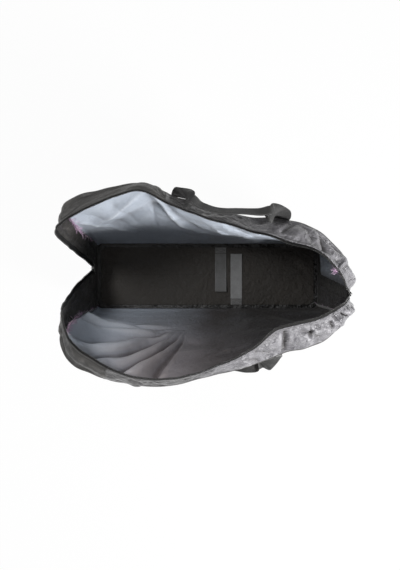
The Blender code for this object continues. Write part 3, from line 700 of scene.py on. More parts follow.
@dataclass(frozen=True)
class Fan:
    """Pulled folds that spread from one place, with sharp crests and round valleys."""

    apex: Spot
    start: float
    end: float
    count: float
    slope: float
    reach: float
    seed: float
    turn_pitch: float = 2.2
    radius_pitch: float = 1.8
    wobble_share: float = 1.1
    side_fade: float = 0.10
    apex_fade: float = 0.12

    def heights(self, patch: "Patch") -> np.ndarray:
        """How far the folds move each of the patch's points outwards.

        Args:
            patch: The cloth.

        Returns:
            A height for each point.
        """
        length, breadth = patch.size
        x, y = (patch.u - self.apex[0]) * length, (patch.v - self.apex[1]) * breadth
        radius = np.hypot(x, y)
        turn = np.arctan2(y, x) % FULL_TURN
        share = (turn - self.start) / (self.end - self.start)
        wobble = np.zeros(share.shape)
        for index in np.ndindex(share.shape):
            across, along = math.cos(turn[index]) * self.turn_pitch, math.sin(turn[index]) * self.turn_pitch
            here = Vector((across, along, self.seed + radius[index] * self.radius_pitch))
            wobble[index] = noise.noise(here)
        wave = np.abs(np.sin(math.pi * (share * self.count + wobble * self.wobble_share))) ** 0.8
        inside = smooth_steps(share / self.side_fade) * smooth_steps((1 - share) / self.side_fade)
        beyond = smooth_steps((radius - self.reach) / self.reach)
        grown = smooth_steps(radius / self.apex_fade) * (1 - 0.75 * beyond)
        wide = np.minimum(radius, self.reach) * (self.end - self.start) / self.count
        uneven = 0.65 + 0.7 * np.abs(wobble)
        return (0.55 - wave) * wide * self.slope / 2 * inside * grown * uneven


@dataclass(frozen=True)
class Crumple:
    """Sharp irregular ridges all over a piece of cloth, stronger in patches."""

    size: float
    depth: float
    seed: float
    warp_pitch: float = 0.7
    warp: float = 0.55
    ridge: float = 2.2
    fine_pitch: float = 2.3
    patch_pitch: float = 0.45

    def heights(self, patch: "Patch") -> np.ndarray:
        """How far the ridges move each of the patch's points outwards."""
        return point_heights(patch, (self.size, self.size), self.height_at) * self.depth

    def height_at(self, x: float, y: float) -> float:
        """The ridges' height at one place.

        Args:
            x: The place along the cloth, in ridge sizes.
            y: The place across it.

        Returns:
            The height, in depths.
        """
        here = Vector((x, y, self.seed))
        here += Vector(noise.noise_vector(here * self.warp_pitch)) * self.warp
        coarse = 1 - self.ridge * abs(noise.noise(here))
        fine = 1 - self.ridge * abs(noise.noise(here * self.fine_pitch + Vector((5.0, 0.0, 0.0))))
        patchy = 0.55 + 0.9 * noise.noise(here * self.patch_pitch + Vector((0.0, 9.0, 0.0)))
        return (coarse - 0.62 + 0.35 * (fine - 0.5)) * max(patchy, 0.1)


@dataclass(frozen=True)
class Facets:
    """Flat facets at random heights with sharp creases between them, as in crushed cloth."""

    size: float
    depth: float
    seed: int
    start: float = -0.2
    stretch: Spot = (1.0, 1.0)
    fade: float = 0.12
    scatter: float = 0.45
    margin: int = 2

    def heights(self, patch: "Patch") -> np.ndarray:
        """How far the facets move each of the patch's points outwards.

        Args:
            patch: The cloth.

        Returns:
            A height for each point.
        """
        rng = random.Random(self.seed)
        length, breadth = patch.size
        wide, high = self.size * self.stretch[0], self.size * self.stretch[1]
        corners, levels = [], []
        for column in range(-self.margin, math.ceil(length / wide) + self.margin + 1):
            for row in range(-self.margin, math.ceil(breadth / high) + self.margin + 1):
                x, y = (place + rng.uniform(-self.scatter, self.scatter) for place in (column, row))
                corners.append(Vector((x * wide, y * high)))
                levels.append(rng.uniform(-1.0, 1.0) * self.depth)
        places, _, faces, sources, _, _ = delaunay_2d_cdt(corners, [], [], 0, 1e-9)
        solid = [(place.x, place.y, levels[source[0]]) for place, source in zip(places, sources)]
        tree = BVHTree.FromPolygons(solid, faces)

        def height_at(x: float, y: float) -> float:
            """The height of the facet that lies at a place."""
            hit = tree.ray_cast(Vector((x, y, 1.0)), Vector((0.0, 0.0, -1.0)))[0]
            return hit.z if hit else 0.0

        region = smooth_steps((patch.u - self.start) / self.fade)
        return point_heights(patch, (1.0, 1.0), height_at) * region


@dataclass(frozen=True)
class Slack:
    """Long soft waves in a length of cloth."""

    size: float
    depth: float
    seed: float
    stretch: Spot = (1.0, 1.0)

    def heights(self, patch: "Patch") -> np.ndarray:
        """How far the waves move each of the patch's points outwards.

        Args:
            patch: The cloth.

        Returns:
            A height for each point.
        """
        cell = (self.size * self.stretch[0], self.size * self.stretch[1])
        waves = point_heights(patch, cell, lambda x, y: noise.noise(Vector((x, y, self.seed))))
        return waves * 2 * self.depth


Feature = FoldLine | Creases | Fan | Crumple | Facets | Slack
Folds = dict[Section, tuple[Feature, ...]]


@dataclass(frozen=True)
class StillSpot:
    """A place where something sewn on holds the cloth flat, in shares, with its reach in metres."""

    u: float
    v: float
    reach: float


def link_object(name: str, data: bpy.types.ID) -> bpy.types.Object:
    """A new object for some data, linked to the scene.

    Args:
        name: Its name.
        data: The data.

    Returns:
        The object.
    """
    made = bpy.data.objects.new(name, data)
    bpy.context.scene.collection.objects.link(made)
    return made


def mesh_object(name: str, shape: bmesh.types.BMesh) -> bpy.types.Object:
    """A new mesh object from a finished bmesh, which is freed.

    Args:
        name: The object's name.
        shape: The bmesh.

    Returns:
        The object, linked to the scene.
    """
    mesh = bpy.data.meshes.new(name)
    shape.to_mesh(mesh)
    shape.free()
    return link_object(name, mesh)


class Patch:
    """A stretch of cloth as a grid of points, with the true lengths along and across it."""

    def __init__(self, points: np.ndarray, outside: int) -> None:
        """Measures the grid.

        Args:
            points: The points, by row across and by column along.
            outside: 1 where along crossed with across points out of the bag, and -1 where it points in.
        """
        self.points = points
        self.outside = outside
        rows, columns = points.shape[:2]
        self.u, self.v = np.meshgrid(np.linspace(0, 1, columns), np.linspace(0, 1, rows))
        steps = np.linalg.norm(np.diff(points, axis=1), axis=2).mean(axis=0)
        self.along = np.concatenate(([0.0], np.cumsum(steps)))
        rises = np.linalg.norm(np.diff(points, axis=0), axis=2)
        self.across = np.vstack((np.zeros(columns), np.cumsum(rises, axis=0)))
        self.size = (float(self.along[-1]), float(self.across[-1].mean()))
        self.u = np.broadcast_to(self.along / self.size[0], self.u.shape).copy()
        self.relief = np.zeros(self.u.shape)

    def normals(self) -> np.ndarray:
        """The direction out of the bag at each point.

        Returns:
            A unit direction for each point.
        """
        along = np.gradient(self.points, axis=1)
        across = np.gradient(self.points, axis=0)
        found = np.cross(along, across) * self.outside
        return found / np.maximum(np.linalg.norm(found, axis=2, keepdims=True), 1e-12)

    def fold(self, features: Iterable[Feature], reaches: Spot, still: Iterable[StillSpot] = ()) -> None:
        """Moves the points along their normals, less towards the edges that other pieces hold.

        Args:
            features: The folds, crumples and waves.
            reaches: How far from the first and the last edge across the hold is felt, in metres.
            still: The places that sewn-on pieces hold flat.
        """
        heights = sum(feature.heights(self) for feature in features)
        near = smooth_steps(self.across / reaches[0]) if reaches[0] else 1.0
        left = np.minimum(self.along, self.along[-1] - self.along) / 0.012
        far = smooth_steps((self.across[-1] - self.across) / reaches[1]) if reaches[1] else 1.0
        heights = heights * near * far * smooth_steps(left)[None, :]
        length, breadth = self.size
        for spot in still:
            off = np.hypot((self.u - spot.u) * length, (self.v - spot.v) * breadth)
            heights = heights * (1 - np.exp(-((off / spot.reach) ** 3)))
        self.points = self.points + self.normals() * heights[:, :, None]
        self.relief = self.relief + heights

    def crests(self) -> np.ndarray:
        """The folds at each point, as 0 in a valley, 0.5 on flat cloth and 1 on a crest.

        Returns:
            A level for each point.
        """
        padded = np.pad(self.relief, CREST_REACH, mode="edge")
        blurred = np.zeros(self.relief.shape)
        rows, columns = self.relief.shape
        width = 2 * CREST_REACH + 1
        for row in range(width):
            for column in range(width):
                blurred += padded[row : row + rows, column : column + columns]
        blurred /= width**2
        return np.clip(0.5 + (self.relief - blurred) * CREST_GAIN, 0.0, 1.0)

    def at(self, u: float, v: float) -> Vector:
        """The point at shares of the grid along and across.

        Args:
            u: The share along it.
            v: The share across it.

        Returns:
            The point.
        """
        rows, columns = self.points.shape[:2]
        x, y = min(max(u, 0.0), 1.0) * (columns - 1), min(max(v, 0.0), 1.0) * (rows - 1)
        column, row = min(int(x), columns - 2), min(int(y), rows - 2)
        x, y = x - column, y - row
        cell = self.points[row : row + 2, column : column + 2]
        low = cell[0, 0] * (1 - x) + cell[0, 1] * x
        high = cell[1, 0] * (1 - x) + cell[1, 1] * x
        return Vector(low * (1 - y) + high * y)

    def outwards(self, u: float, v: float) -> Vector:
        """The direction out of the bag at shares of the grid.

        Args:
            u: The share along it.
            v: The share across it.

        Returns:
            The unit direction.
        """
        step = 0.004
        along = self.at(u + step, v) - self.at(u - step, v)
        across = self.at(u, v + step) - self.at(u, v - step)
        return (along.cross(across) * self.outside).normalized()

    def build(self, name: str, thickness: float) -> bpy.types.Object:
        """Makes the grid a mesh with its lengths as UVs, its folds as an attribute and a Solidify wall.

        Args:
            name: The piece's name.
            thickness: The cloth's thickness.

        Returns:
            The new object, linked to the scene.
        """
        rows, columns = self.points.shape[:2]
        grid = bmesh.new()
        uv_layer = grid.loops.layers.uv.new("UVMap")
        bmesh.ops.create_grid(grid, x_segments=columns - 1, y_segments=rows - 1, size=0.5)
        crest_layer = grid.verts.layers.float.new("fold")
        crests = self.crests()
        grid.verts.index_update()
        places = []
        for vertex in grid.verts:
            column = round((vertex.co.x + 0.5) * (columns - 1))
            row = round((vertex.co.y + 0.5) * (rows - 1))
            places.append((float(self.along[column]), float(self.across[row, column])))
            vertex.co = self.points[row, column]
            vertex[crest_layer] = float(crests[row, column])
        for face in grid.faces:
            face.smooth = True
            for loop in face.loops:
                loop[uv_layer].uv = places[loop.vert.index]
        if self.outside < 0:
            bmesh.ops.reverse_faces(grid, faces=grid.faces)
        made = mesh_object(name, grid)
        wall = made.modifiers.new("Thickness", "SOLIDIFY")
        wall.thickness = thickness
        wall.offset = 0.0
        wall.material_offset = 1
        return made


def grid_points(surface: Surface, columns: int, rows: int) -> np.ndarray:
    """The points of a surface on an even grid, by row across and by column along.

    Args:
        surface: The surface.
        columns: How many steps along.
        rows: How many steps across.

    Returns:
        The points.
    """
    found = np.zeros((rows + 1, columns + 1, 3))
    for row in range(rows + 1):
        for column in range(columns + 1):
            found[row, column] = surface(column / columns, row / rows)
    return found


class Nodes:
    """Adds nodes to a node tree and links what they read."""

    def __init__(self, tree: bpy.types.NodeTree) -> None:
        """Keeps the tree."""
        self.tree = tree

    def add(self, kind: str, inputs: dict | None = None, **settings: object) -> bpy.types.Node:
        """Adds one node.

        Args:
            kind: The node's type name.
            inputs: A value or another node's socket for each input, by the input's name or number.
            settings: The node's own settings.

        Returns:
            The node.
        """
        node = self.tree.nodes.new(kind)
        for key, value in settings.items():
            setattr(node, key, value)
        self.feed(node, inputs or {})
        return node

    def feed(self, node: bpy.types.Node, inputs: dict) -> None:
        """Links or sets a node's inputs.

        Args:
            node: The node.
            inputs: A value or another node's socket for each input, by the input's name or number.
        """
        for key, value in inputs.items():
            if isinstance(value, bpy.types.NodeSocket):
                self.tree.links.new(value, node.inputs[key])
            else:
                node.inputs[key].default_value = value

    def group(self, tree: bpy.types.NodeTree, **inputs: object) -> bpy.types.NodeOutputs:
        """The outputs of a shared effect, placed here with its inputs."""
        return self.add("ShaderNodeGroup", inputs, node_tree=tree).outputs

    def texture(self, place: object, scale: object, detail: float, **more: float) -> Socket:
        """The value of a Noise Texture."""
        inputs = {"Vector": place, "Scale": scale, "Detail": detail, **more}
        return self.add("ShaderNodeTexNoise", inputs).outputs["Fac"]

    def bump(self, strength: float, distance: float, **inputs: object) -> Socket:
        """The normal of a Bump node, from its Height and where it has one its Normal."""
        inputs = {"Strength": strength, "Distance": distance, **inputs}
        return self.add("ShaderNodeBump", inputs).outputs["Normal"]

    def math(self, operation: str, first: object, second: object = 0.0) -> Socket:
        """The result of a Math node."""
        return self.add("ShaderNodeMath", {0: first, 1: second}, operation=operation).outputs[0]

    def ranged(self, value: object, low: float, high: float, to_low: float, to_high: float) -> Socket:
        """The result of a Map Range node."""
        inputs = {"Value": value, "From Min": low, "From Max": high, "To Min": to_low, "To Max": to_high}
        return self.add("ShaderNodeMapRange", inputs).outputs["Result"]

    def mixed(self, share: object, first: object, second: object, blend: str = "MIX") -> Socket:
        """The result of a Mix node for colours."""
        node = self.add("ShaderNodeMix", {0: share, 6: first, 7: second}, data_type="RGBA", blend_type=blend)
        return node.outputs[2]

    def wear(self, tone: object, level: float, spread: tuple[float, float]) -> Socket:
        """A roughness about a level, which follows the tone."""
        return self.ranged(tone, 0.0, 1.0, level - spread[0], level + spread[1])


def new_group(name: str, inputs: dict, outputs: dict) -> tuple[bpy.types.NodeTree, Nodes, dict]:
    """Starts a shader node group.

    Args:
        name: The group's name.
        inputs: Each input's socket type, by its name.
        outputs: Each output's socket type, by its name.

    Returns:
        The group, a Nodes for it and its input sockets by name.
    """
    tree = bpy.data.node_groups.new(name, "ShaderNodeTree")
    for label, kind in inputs.items():
        tree.interface.new_socket(label, in_out="INPUT", socket_type=kind)
    for label, kind in outputs.items():
        tree.interface.new_socket(label, in_out="OUTPUT", socket_type=kind)
    nodes = Nodes(tree)
    entry = nodes.add("NodeGroupInput")
    return tree, nodes, {label: entry.outputs[label] for label in inputs}


FLOAT, VECTOR = "NodeSocketFloat", "NodeSocketVector"


class Effects:
    """The shader effects that several finishes share, each built once as a node group."""

    def __init__(self) -> None:
        """Builds the groups."""
        self.weave = self._plain_weave()
        self.tone = self._tone()
        self.creases = self._creases()
        self.ribs = self._ribs()
        self.specks = self._specks()
        self.crinkles = self._crinkles()

    @staticmethod
    def _plain_weave() -> bpy.types.NodeTree:
        """Threads that pass over and under each other, at a pitch in metres.

        Returns:
            The node group.
        """
        tree, nodes, given = new_group(
            "plain weave", {"Vector": VECTOR, "Pitch": FLOAT}, {"Height": FLOAT, "Gap": FLOAT}
        )
        split = nodes.add("ShaderNodeSeparateXYZ", {0: given["Vector"]})
        waves = []
        for axis in (0, 1):
            counted = nodes.math("DIVIDE", split.outputs[axis], given["Pitch"])
            turned = nodes.math("MULTIPLY", counted, math.pi)
            waves.append(nodes.math("SINE", turned))
        parity = nodes.math("MULTIPLY", waves[0], waves[1])
        threads = []
        for wave, lean in zip(waves, (0.4, -0.4)):
            lift = nodes.math("ADD", nodes.math("MULTIPLY", parity, lean), 0.6)
            threads.append(nodes.math("MULTIPLY", nodes.math("ABSOLUTE", wave), lift))
        height = nodes.math("MAXIMUM", threads[0], threads[1])
        widest = nodes.math("MAXIMUM", nodes.math("ABSOLUTE", waves[0]), nodes.math("ABSOLUTE", waves[1]))
        gap = nodes.math("SUBTRACT", 1.0, widest)
        nodes.add("NodeGroupOutput", {"Height": height, "Gap": gap})
        return tree

    @staticmethod
    def _tone() -> bpy.types.NodeTree:
        """Broad and fine unevenness of colour, from 0 to 1.

        Returns:
            The node group.
        """
        tree, nodes, given = new_group(
            "tone", {"Vector": VECTOR, "Size": FLOAT, "Contrast": FLOAT}, {"Tone": FLOAT}
        )
        scale = nodes.math("DIVIDE", 1.0, given["Size"])
        broad = nodes.texture(given["Vector"], scale, 3.0)
        fine = nodes.texture(given["Vector"], nodes.math("MULTIPLY", scale, 7.0), 5.0)
        both = nodes.math("ADD", nodes.math("MULTIPLY", broad, 0.65), nodes.math("MULTIPLY", fine, 0.35))
        spread = nodes.math("MULTIPLY", nodes.math("SUBTRACT", both, 0.5), given["Contrast"])
        held = nodes.add("ShaderNodeClamp", {"Value": nodes.math("ADD", spread, 0.5)})
        nodes.add("NodeGroupOutput", {"Tone": held.outputs[0]})
        return tree

    @staticmethod
    def _creases() -> bpy.types.NodeTree:
        """Masks for the fold crests, which the cloth lightens as wear and painted highlight, and for the fold
        valleys, which it darkens as painted shade, broken up by noise.

        Returns:
            The node group.
        """
        tree, nodes, given = new_group(
            "creases", {"Vector": VECTOR, "Fold": FLOAT}, {"Crest": FLOAT, "Valley": FLOAT}
        )
        broken = nodes.ranged(nodes.texture(given["Vector"], 160.0, 4.0), 0.3, 0.7, 0.8, 1.0)
        # The crest mask, for the wear and painted highlight on the fold crests.
        crest = nodes.math("MULTIPLY", nodes.ranged(given["Fold"], 0.56, 0.95, 0.0, 1.0), broken)
        # The valley mask, for the painted shade in the fold valleys.
        valley = nodes.math("MULTIPLY", nodes.ranged(given["Fold"], 0.44, 0.05, 0.0, 1.0), broken)
        nodes.add("NodeGroupOutput", {"Crest": crest, "Valley": valley})
        return tree

    @staticmethod
    def _ribs() -> bpy.types.NodeTree:
        """Webbing's ribs along X, each crossed by its picks.

        Returns:
            The node group.
        """
        tree, nodes, given = new_group(
            "ribs", {"Vector": VECTOR, "Rib": FLOAT, "Pick": FLOAT}, {"Height": FLOAT, "Gap": FLOAT}
        )
        split = nodes.add("ShaderNodeSeparateXYZ", {0: given["Vector"]})
        ribs = nodes.math("MULTIPLY", nodes.math("DIVIDE", split.outputs[1], given["Rib"]), math.pi)
        rib = nodes.math("SINE", ribs)
        shift = nodes.math("MULTIPLY", nodes.math("SIGN", rib), math.pi / 4)
        picks = nodes.math("MULTIPLY", nodes.math("DIVIDE", split.outputs[0], given["Pick"]), math.pi)
        pick = nodes.math("ABSOLUTE", nodes.math("SINE", nodes.math("ADD", picks, shift)))
        round_rib = nodes.math("ABSOLUTE", rib)
        crossed = nodes.math("ADD", nodes.math("MULTIPLY", pick, 0.45), 0.55)
        height = nodes.math("MULTIPLY", round_rib, crossed)
        nodes.add("NodeGroupOutput", {"Height": height, "Gap": nodes.math("SUBTRACT", 1.0, height)})
        return tree

    @staticmethod
    def _crinkles() -> bpy.types.NodeTree:
        """Small sharp crinkles, calm at the zip's open end and full at its closed one.

        Returns:
            The node group.
        """
        tree, nodes, given = new_group("crinkles", {"Vector": VECTOR}, {"Height": FLOAT})
        heights = []
        for scale, share in ((26.0, 1.0), (61.0, 0.45)):
            wave = nodes.texture(given["Vector"], scale, 2.5, Distortion=0.25)
            ridge = nodes.math("ABSOLUTE", nodes.math("SUBTRACT", wave, 0.5))
            heights.append(nodes.math("MULTIPLY", ridge, -4.0 * share))
        both = nodes.math("ADD", heights[0], heights[1])
        split = nodes.add("ShaderNodeSeparateXYZ", {0: given["Vector"]})
        calm = nodes.ranged(split.outputs["X"], -0.30, 0.15, 0.35, 1.0)
        nodes.add("NodeGroupOutput", {"Height": nodes.math("MULTIPLY", both, calm)})
        return tree

    @staticmethod
    def _specks() -> bpy.types.NodeTree:
        """Scattered dust and lint, as a mask.

        Returns:
            The node group.
        """
        tree, nodes, given = new_group(
            "specks", {"Vector": VECTOR, "Scale": FLOAT, "Amount": FLOAT}, {"Mask": FLOAT}
        )
        grain = nodes.texture(given["Vector"], given["Scale"], 8.0, Roughness=0.7)
        sharp = nodes.ranged(grain, 0.6, 0.72, 0.0, 1.0)
        clouds = nodes.ranged(nodes.texture(given["Vector"], 14.0, 2.0), 0.35, 0.65, 0.2, 1.0)
        mask = nodes.math("MULTIPLY", nodes.math("MULTIPLY", sharp, clouds), given["Amount"])
        nodes.add("NodeGroupOutput", {"Mask": mask})
        return tree


Colour = tuple[float, float, float, float]


def grey(value: float, warmth: float = 0.0) -> Colour:
    """A grey in linear light, a little warm (above 0) or cool (below 0)."""
    return (value * (1 + warmth), value, value * (1 - warmth), 1.0)


def start_material(name: str) -> tuple[bpy.types.Material, Nodes, bpy.types.Node, Socket]:
    """A new material, a Nodes for it, its Principled BSDF and the piece's own coordinates.

    Args:
        name: Its name.

    Returns:
        All four.
    """
    made = bpy.data.materials.new(name)
    made.use_nodes = True
    nodes = Nodes(made.node_tree)
    place = nodes.add("ShaderNodeTexCoord").outputs["Object"]
    return made, nodes, made.node_tree.nodes["Principled BSDF"], place


@dataclass(frozen=True)
class ClothFinish:
    """Woven bag cloth: its colours, weave and gloss, with wear and painted highlight on its fold crests and
    painted shade in its fold valleys.
    """

    name: str
    dark: Colour
    light: Colour
    # A pale colour for dust and worn crests, which also paints highlight on the crests.
    wear_and_highlight: Colour
    # The colour of the painted shade in fold valleys, in the hem line and inside the front half.
    shade_colour: Colour
    roughness: tuple[float, float]
    sheen: float
    weave_depth: float
    crest_wear_and_highlight_share: float
    valley_shade_share: float
    speckle: float
    pitch: float = 0.0009
    wrinkle_depth: float = 0.0006
    crinkle_depth: float = 0.0020
    # How much painted shade darkens the front half's lining and the zip's open end, and the warm tint of the
    # front half:
    front_shade_share: float = 0.0
    end_shade_share: float = 0.0
    warm_tint: Colour = (1.0, 0.84, 0.78, 1.0)
    hem: tuple[float, float] = (0.0052, 0.0010)
    inside: bool = False
    blotches: float = 1.2

    def build(self, effects: Effects) -> bpy.types.Material:
        """Makes the material, which follows the piece's UV map and its fold attribute.

        Args:
            effects: The shared effects.

        Returns:
            The material.
        """
        made, nodes, shader, place = start_material(self.name)
        uv = nodes.add("ShaderNodeUVMap", uv_map="UVMap").outputs["UV"]
        fold = nodes.add("ShaderNodeAttribute", attribute_name="fold").outputs["Fac"]
        if self.inside:
            fold = nodes.math("SUBTRACT", 1.0, fold)
        weave = nodes.group(effects.weave, Vector=uv, Pitch=self.pitch)
        tone = nodes.group(effects.tone, Vector=place, Size=0.09, Contrast=self.blotches)["Tone"]
        creases = nodes.group(effects.creases, Vector=place, Fold=fold)
        specks = nodes.group(effects.specks, Vector=place, Scale=420.0, Amount=self.speckle)["Mask"]
        # Fold crests lighten towards the pale colour: wear, and painted highlight as well.
        crest = nodes.math("MULTIPLY", creases["Crest"], self.crest_wear_and_highlight_share)
        # Painted shade: fold valleys darken towards the shade colour.
        valley = nodes.math("MULTIPLY", creases["Valley"], self.valley_shade_share)
        base = nodes.mixed(tone, self.dark, self.light)
        thread = nodes.mixed(nodes.math("MULTIPLY", weave["Gap"], 0.55), base, self.dark, "MULTIPLY")
        crease_shaded = nodes.mixed(valley, nodes.mixed(crest, thread, self.wear_and_highlight), self.shade_colour)
        # Dust specks in the pale colour, over the folds' painted shade and highlight.
        dusted_and_shaded = nodes.mixed(specks, crease_shaded, self.wear_and_highlight)
        # Painted shade on the lining inside the front half.
        if self.front_shade_share:
            dusted_and_shaded = self.painted_front_shade(nodes, place, dusted_and_shaded)
        # Painted shade towards the zip's open end.
        if self.end_shade_share:
            dusted_and_shaded = self.painted_end_shade(nodes, place, dusted_and_shaded)
        # Painted shade of a seam groove: a thin line along the hem in the shade colour, with no groove in the
        # bump.
        split = nodes.add("ShaderNodeSeparateXYZ", {0: uv})
        off = nodes.math("ABSOLUTE", nodes.math("SUBTRACT", split.outputs["Y"], self.hem[0]))
        hem_line_shade = nodes.ranged(off, 0.0, self.hem[1], 0.8, 0.0)
        crinkles = nodes.group(effects.crinkles, Vector=place)["Height"]
        crinkled = nodes.bump(0.9, self.crinkle_depth, Height=crinkles)
        fine = nodes.texture(place, 85.0, 4.0, Roughness=0.6)
        wrinkled = nodes.bump(0.5, self.wrinkle_depth, Height=fine, Normal=crinkled)
        inputs = {
            "Base Color": nodes.mixed(hem_line_shade, dusted_and_shaded, self.shade_colour),
            "Roughness": nodes.ranged(tone, 0.0, 1.0, *self.roughness),
            "Normal": nodes.bump(0.6, self.weave_depth, Height=weave["Height"], Normal=wrinkled),
            "Sheen Weight": self.sheen,
            "Sheen Roughness": 0.45,
        }
        nodes.feed(shader, inputs)
        return made

    def painted_end_shade(self, nodes: Nodes, place: Socket, unshaded: Socket) -> Socket:
        """The colour darkened as painted shade towards the zip's open end, easing off along the bag.

        Args:
            nodes: The material's nodes.
            place: The piece's own coordinates.
            unshaded: The colour before it.

        Returns:
            The colour.
        """
        split = nodes.add("ShaderNodeSeparateXYZ", {0: place})
        lag = nodes.ranged(split.outputs["Y"], -0.05, 0.05, 0.0, 0.09)
        reached = nodes.math("SUBTRACT", split.outputs["X"], lag)
        # Painted shade: near black towards the zip's open end, gone just past the bag's middle.
        share = nodes.ranged(reached, -0.06, 0.04, self.end_shade_share, 0.0)
        return nodes.mixed(share, unshaded, grey(0.030, 0.04))

    def painted_front_shade(self, nodes: Nodes, place: Socket, colour_before_shade: Socket) -> Socket:
        """The colour with painted shade that darkens the lining inside the front half towards the zip's
        closed end, and a warm brown tint over the front half.

        Args:
            nodes: The material's nodes.
            place: The piece's own coordinates.
            colour_before_shade: The colour before it.

        Returns:
            The colour.
        """
        split = nodes.add("ShaderNodeSeparateXYZ", {0: place})
        x, y = split.outputs["X"], split.outputs["Y"]
        # A warm brown tint over the front half.
        in_front = nodes.ranged(y, -0.12, -0.22, 0.0, 1.0)
        tint_share = nodes.math("MULTIPLY", nodes.ranged(x, -0.34, -0.15, 0.0, 1.0), in_front)
        warm_tinted = nodes.mixed(tint_share, colour_before_shade, self.warm_tint, "MULTIPLY")
        # Painted shade: the front lining darkens towards the shade colour along the bag to the zip's closed
        # end.
        along = nodes.ranged(x, -0.24, 0.02, 0.0, 1.0)
        level = nodes.math("SUBTRACT", y, nodes.math("MULTIPLY", x, 0.17))
        front = nodes.ranged(level, -0.04, -0.11, 0.0, 1.0)
        uneven = nodes.ranged(nodes.texture(place, 9.0, 5.0), 0.3, 0.65, 0.78, 1.0)
        mask = nodes.math("MULTIPLY", nodes.math("MULTIPLY", along, front), uneven)
        painted_front_shade = nodes.mixed(nodes.math("MULTIPLY", mask, self.front_shade_share), warm_tinted, self.shade_colour)
        # Painted shade, near black, deepest at the zip's closed end.
        deepest_shade_share = nodes.math("MULTIPLY", nodes.ranged(x, -0.06, 0.14, 0.0, 0.72), front)
        return nodes.mixed(deepest_shade_share, painted_front_shade, grey(0.018, 0.1))


@dataclass(frozen=True)
class WebbingFinish:
    """Ribbed webbing or zip tape: its colours, ribs and gloss."""

    name: str
    dark: Colour
    light: Colour
    rib: float
    pick: float
    roughness: float
    depth: float
    speckle: float = 0.10
    sheen: float = 0.12
    gloss: float = 0.5

    def build(self, effects: Effects) -> bpy.types.Material:
        """Makes the material, whose ribs run along the piece's UV map.

        Args:
            effects: The shared effects.

        Returns:
            The material.
        """
        made, nodes, shader, place = start_material(self.name)
        uv = nodes.add("ShaderNodeUVMap", uv_map="UVMap").outputs["UV"]
        ribs = nodes.group(effects.ribs, Vector=uv, Rib=self.rib, Pick=self.pick)
        tone = nodes.group(effects.tone, Vector=place, Size=0.035, Contrast=2.6)["Tone"]
        specks = nodes.group(effects.specks, Vector=place, Scale=600.0, Amount=self.speckle)["Mask"]
        base = nodes.mixed(tone, self.dark, self.light)
        grooved = nodes.mixed(nodes.math("MULTIPLY", ribs["Gap"], 0.6), base, self.dark, "MULTIPLY")
        inputs = {
            "Base Color": nodes.mixed(specks, grooved, grey(0.30)),
            "Roughness": nodes.wear(tone, self.roughness, (0.08, 0.08)),
            "Normal": nodes.bump(0.8, self.depth, Height=ribs["Height"]),
            "Sheen Weight": self.sheen,
            "Specular IOR Level": self.gloss,
        }
        nodes.feed(shader, inputs)
        return made


@dataclass(frozen=True)
class PileFinish:
    """Hook and loop tape: short matted pile."""

    name: str
    dark: Colour
    light: Colour
    grain: float = 900.0

    def build(self, effects: Effects) -> bpy.types.Material:
        """Makes the material, with a pile of small cells.

        Args:
            effects: The shared effects.

        Returns:
            The material.
        """
        made, nodes, shader, place = start_material(self.name)
        cells = nodes.add("ShaderNodeTexVoronoi", {"Vector": place, "Scale": self.grain}).outputs["Distance"]
        tone = nodes.group(effects.tone, Vector=place, Size=0.02, Contrast=2.8)["Tone"]
        specks = nodes.group(effects.specks, Vector=place, Scale=700.0, Amount=0.35)["Mask"]
        base = nodes.mixed(tone, self.dark, self.light)
        tufted = nodes.mixed(nodes.ranged(cells, 0.1, 0.8, 0.0, 0.6), base, self.dark)
        pile = {"Strength": 0.9, "Distance": 0.0006, "Height": cells}
        inputs = {
            "Base Color": nodes.mixed(specks, tufted, grey(0.42)),
            "Roughness": nodes.ranged(tone, 0.0, 1.0, 0.85, 0.98),
            "Normal": nodes.add("ShaderNodeBump", pile, invert=True).outputs["Normal"],
            "Sheen Weight": 0.3,
        }
        nodes.feed(shader, inputs)
        return made


@dataclass(frozen=True)
class NylonFinish:
    """Coils, threads and piping: one colour with a fine grain."""

    name: str
    dark: Colour
    light: Colour
    roughness: float
    grain: float = 900.0
    depth: float = 0.0001

    def build(self, effects: Effects) -> bpy.types.Material:
        """Makes the material, on Object coordinates.

        Args:
            effects: The shared effects.

        Returns:
            The material.
        """
        made, nodes, shader, place = start_material(self.name)
        tone = nodes.group(effects.tone, Vector=place, Size=0.015, Contrast=3.0)["Tone"]
        inputs = {
            "Base Color": nodes.mixed(tone, self.dark, self.light),
            "Roughness": nodes.wear(tone, self.roughness, (0.06, 0.08)),
            "Normal": nodes.bump(0.5, self.depth, Height=nodes.texture(place, self.grain, 3.0)),
        }
        nodes.feed(shader, inputs)
        return made


@dataclass(frozen=True)
class MetalFinish:
    """A lacquered die-cast metal, rubbed bright in places."""

    name: str
    lacquer: Colour
    bare: Colour
    roughness: float

    def build(self, effects: Effects) -> bpy.types.Material:
        """Makes the material: dark lacquer over metal, rubbed through in patches.

        Args:
            effects: The shared effects.

        Returns:
            The material.
        """
        made, nodes, shader, place = start_material(self.name)
        tone = nodes.group(effects.tone, Vector=place, Size=0.004, Contrast=3.0)["Tone"]
        inputs = {
            "Base Color": nodes.mixed(nodes.ranged(tone, 0.62, 0.8, 0.0, 1.0), self.lacquer, self.bare),
            "Roughness": nodes.wear(tone, self.roughness, (0.08, 0.1)),
            "Normal": nodes.bump(0.25, 0.00008, Height=nodes.texture(place, 1500.0, 2.0)),
            "Metallic": 1.0,
        }
        nodes.feed(shader, inputs)
        return made


